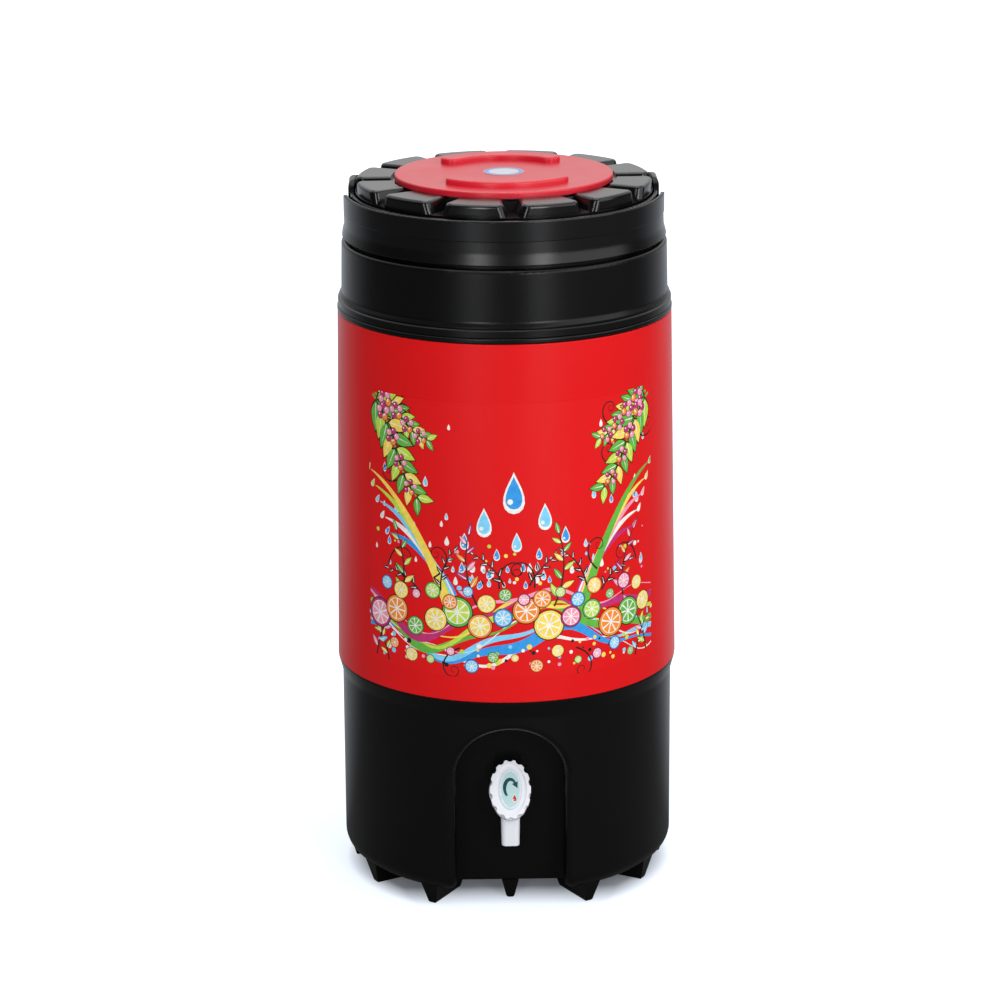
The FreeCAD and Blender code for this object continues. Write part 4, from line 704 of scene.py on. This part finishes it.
def print_knob():
    """A generic mark on the knob's sticker: a turning arrow and a drop, inside a pale edge."""
    slope = Vector((0, math.sin(KNOB_TILT), math.cos(KNOB_TILT)))
    out = Vector((0, -math.cos(KNOB_TILT), math.sin(KNOB_TILT)))
    corners = [corner.co for corner in frame["nodes"]["knob_sticker"].data.vertices]
    middle = sum(corners, Vector()) / len(corners)
    middle += out * (max(corner.dot(out) for corner in corners) - middle.dot(out) + INK_LIFT * MM)
    wide = max(corner.x for corner in corners) / MM - KNOB_PRINT_INSET
    high = (max(corner.dot(slope) for corner in corners) - middle.dot(slope)) / MM - KNOB_PRINT_INSET

    def wrap(x, y):
        """A place of the flat mark, in millimetres from its foot's middle, on the sticker."""
        return middle + Vector((x * MM, 0, 0)) + slope * ((y - high) * MM)

    sheet = Print()
    rim = []
    sides = 48
    for n in range(sides + 1):
        turn = 2 * math.pi * n / sides
        across = (wide - KNOB_RIM_INSET) * math.cos(turn)
        rim.append((across, high + (high - KNOB_RIM_INSET) * math.sin(turn)))
    sheet.band(rim, lambda t: KNOB_RIM_WIDTH, "pale", 0)
    arrow = []
    steps = 16
    for n in range(steps + 1):
        turn = math.radians(235 - 205 * n / steps)
        arrow.append((0.52 * wide * math.cos(turn), high * 1.05 + 0.46 * high * math.sin(turn)))
    sheet.band(arrow, lambda t: 1.6 + 1.4 * math.sin(math.pi * t), "teal", 1)
    way = math.degrees(math.atan2(arrow[-1][1] - arrow[-2][1], arrow[-1][0] - arrow[-2][0]))
    head = ((-1.0, -2.6), (4.0, 0.0), (-1.0, 2.6))
    sheet.face([rotated(*arrow[-1], px, py, way) for px, py in head], "teal", 2)
    sheet.drop(0.36 * wide, 0.56 * high, 3.6, "red", 3)
    sheet.piece("knob_print", wrap, KNOB_INKS, wide, 2 * high, "knob")


def lay_film():
    """The red film under the print, with round corners, in place of the CAD label."""
    half = FILM_HALF - FILM_SIDE_INSET
    top = FILM_HEIGHT - FILM_END_INSET
    outline = []
    for x, y, start in ((half, FILM_END_INSET, 270), (half, top, 0), (-half, top, 90),
                        (-half, FILM_END_INSET, 180)):
        middle_x = x - math.copysign(FILM_CORNER, x)
        middle_y = y - FILM_CORNER if y == top else y + FILM_CORNER
        for n in range(CORNER_STEPS + 1):
            outline.append(rotated(middle_x, middle_y, FILM_CORNER, 0, start + 90 * n / CORNER_STEPS))
    sheet = Print()
    sheet.face(outline, "film", 0)
    film = sheet.piece("label_film", lambda x, y: film_point(x, y, FILM_LIFT),
                       {"film": MATERIALS["printed_film"]}, FILM_HALF, FILM_HEIGHT)
    film.modifiers.new("thickness", "SOLIDIFY").thickness = FILM_THICKNESS * MM
    film.modifiers.new("edges", "EDGE_SPLIT").split_angle = SHARP_EDGE
    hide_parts("front_label")


def set_light(name, place, aim_height, size, power):
    """A soft rectangular lamp that looks at a point on the jug's axis."""
    lamp = bpy.data.lights.new(name, "AREA")
    lamp.energy = power
    lamp.shape = "RECTANGLE"
    lamp.size, lamp.size_y = size
    light = bpy.data.objects.new(name, lamp)
    bpy.context.scene.collection.objects.link(light)
    light.location = place
    aim = Vector((0, 0, aim_height)) - Vector(place)
    light.rotation_euler = aim.to_track_quat("-Z", "Y").to_euler()


def studio_glow(nodes, links, mirror_glow):
    """How bright the studio shows itself: white to the camera, in mirrored rays as it is told."""
    rays = nodes.new("ShaderNodeLightPath").outputs
    direct = maths(nodes, links, "MAXIMUM", rays["Is Camera Ray"], rays["Is Transmission Ray"])
    mirrored = maths(nodes, links, "MULTIPLY", rays["Is Glossy Ray"], mirror_glow)
    return maths(nodes, links, "MAXIMUM", direct, mirrored), rays


def set_world():
    """A white studio, whose own share of the light is soft and even."""
    world = bpy.data.worlds.new("studio")
    bpy.context.scene.world = world
    world.use_nodes = True
    nodes = world.node_tree.nodes
    links = world.node_tree.links
    background = nodes["Background"]
    background.inputs["Strength"].default_value = 1.0
    course = nodes.new("ShaderNodeTexCoord").outputs["Generated"]
    back = spread(nodes, links, backward(nodes, links, course), *BACK_GLOW)
    upward = vector_maths(nodes, links, "DOT_PRODUCT", course, ABOVE_AXIS)
    above = spread(nodes, links, upward.outputs["Value"], *ABOVE_GLOW)
    shown, rays = studio_glow(nodes, links, maths(nodes, links, "MAXIMUM", back, above))
    mix = nodes.new("ShaderNodeMixRGB")
    mix.inputs["Color2"].default_value = SCATTERED_GLOW
    links.new(shown, mix.inputs["Color1"])
    links.new(rays["Is Diffuse Ray"], mix.inputs["Fac"])
    links.new(mix.outputs["Color"], background.inputs["Color"])


def floor_glow(nodes, links):
    """The floor's own glow, with a painted shadow under the jug and spots that paint highlights for mirrored
    rays, and a switch that tells mirrored rays.
    """
    where = object_place(nodes)
    away = vector_maths(nodes, links, "LENGTH", where).outputs["Value"]
    course = vector_maths(nodes, links, "NORMALIZE", where).outputs["Vector"]
    # Mirrored rays see the floor's glow fade towards the front: painted shade in the jug's reflections
    back = spread(nodes, links, backward(nodes, links, course), *BACK_GLOW)
    shown, rays = studio_glow(nodes, links, back)
    # Low glow under the jug's base, open at its front: a painted shadow
    front = spread(nodes, links, backward(nodes, links, where), *PAINTED_SHADOW_FRONT_GLOW)
    near = spread(nodes, links, away, *PAINTED_SHADOW_EDGE_GLOW)
    far = spread(nodes, links, away, *FAR_GLOW)
    painted_shadow = maths(nodes, links, "MAXIMUM", front, near)
    lit = maths(nodes, links, "MULTIPLY", maths(nodes, links, "ADD", painted_shadow, far), shown)
    # Glowing spots that only mirrored rays see: painted highlights on the handle band
    spots = []
    for spot in HIGHLIGHT_SPOTS:
        apart = vector_maths(nodes, links, "DISTANCE", where, spot)
        spots.append(spread(nodes, links, apart.outputs["Value"], *HIGHLIGHT_SPOT_GLOW))
    mirrored = maths(nodes, links, "MAXIMUM", *spots)
    strength = maths(nodes, links, "MULTIPLY_ADD", mirrored, rays["Is Glossy Ray"], lit)
    glow = nodes.new("ShaderNodeEmission")
    glow.inputs["Color"].default_value = FLOOR_GLOW
    links.new(strength, glow.inputs["Strength"])
    return glow.outputs["Emission"], rays["Is Glossy Ray"]


def floor_material():
    """Pale matt paint with its glow, which holds a painted shadow and painted highlights; darker to mirrored
    rays as painted shade in reflections, and clear from below.
    """
    material, nodes, links, shader = new_material("floor")
    glow, is_mirrored = floor_glow(nodes, links)
    # Darker paint for mirrored rays: painted shade in the jug's reflections
    paint = nodes.new("ShaderNodeMixRGB")
    paint.inputs["Color1"].default_value = FLOOR_PAINT
    paint.inputs["Color2"].default_value = FLOOR_PAINT_SHADED_IN_REFLECTIONS
    links.new(is_mirrored, paint.inputs["Fac"])
    links.new(paint.outputs["Color"], shader.inputs["Base Color"])
    shader.inputs["Roughness"].default_value = 0.8
    shader.inputs["Specular IOR Level"].default_value = 0.0
    lit = nodes.new("ShaderNodeAddShader")
    links.new(shader.outputs["BSDF"], lit.inputs[0])
    links.new(glow, lit.inputs[1])
    side = nodes.new("ShaderNodeNewGeometry")
    clear = nodes.new("ShaderNodeBsdfTransparent")
    cover = nodes.new("ShaderNodeMixShader")
    links.new(side.outputs["Backfacing"], cover.inputs["Fac"])
    links.new(lit.outputs["Shader"], cover.inputs[1])
    links.new(clear.outputs["BSDF"], cover.inputs[2])
    links.new(cover.outputs["Shader"], nodes["Material Output"].inputs["Surface"])
    return material


def make_floor():
    """The floor, which runs far out into the white studio and keeps the jug's shadow, deepened under the
    base by painted shade in its glow.
    """
    mesh = bpy.data.meshes.new("floor")
    far = FLOOR_HALF
    mesh.from_pydata([(-far, -far, 0), (far, -far, 0), (far, far, 0), (-far, far, 0)], [], [(0, 1, 2, 3)])
    mesh.materials.append(floor_material())
    floor = bpy.data.objects.new("floor", mesh)
    bpy.context.scene.collection.objects.link(floor)


set_camera()
dress_nodes()
lay_film()
print_label()
print_knob()
set_world()
make_floor()
for lamp in LAMPS:
    set_light(*lamp)
bpy.context.scene.view_settings.view_transform = "Standard"
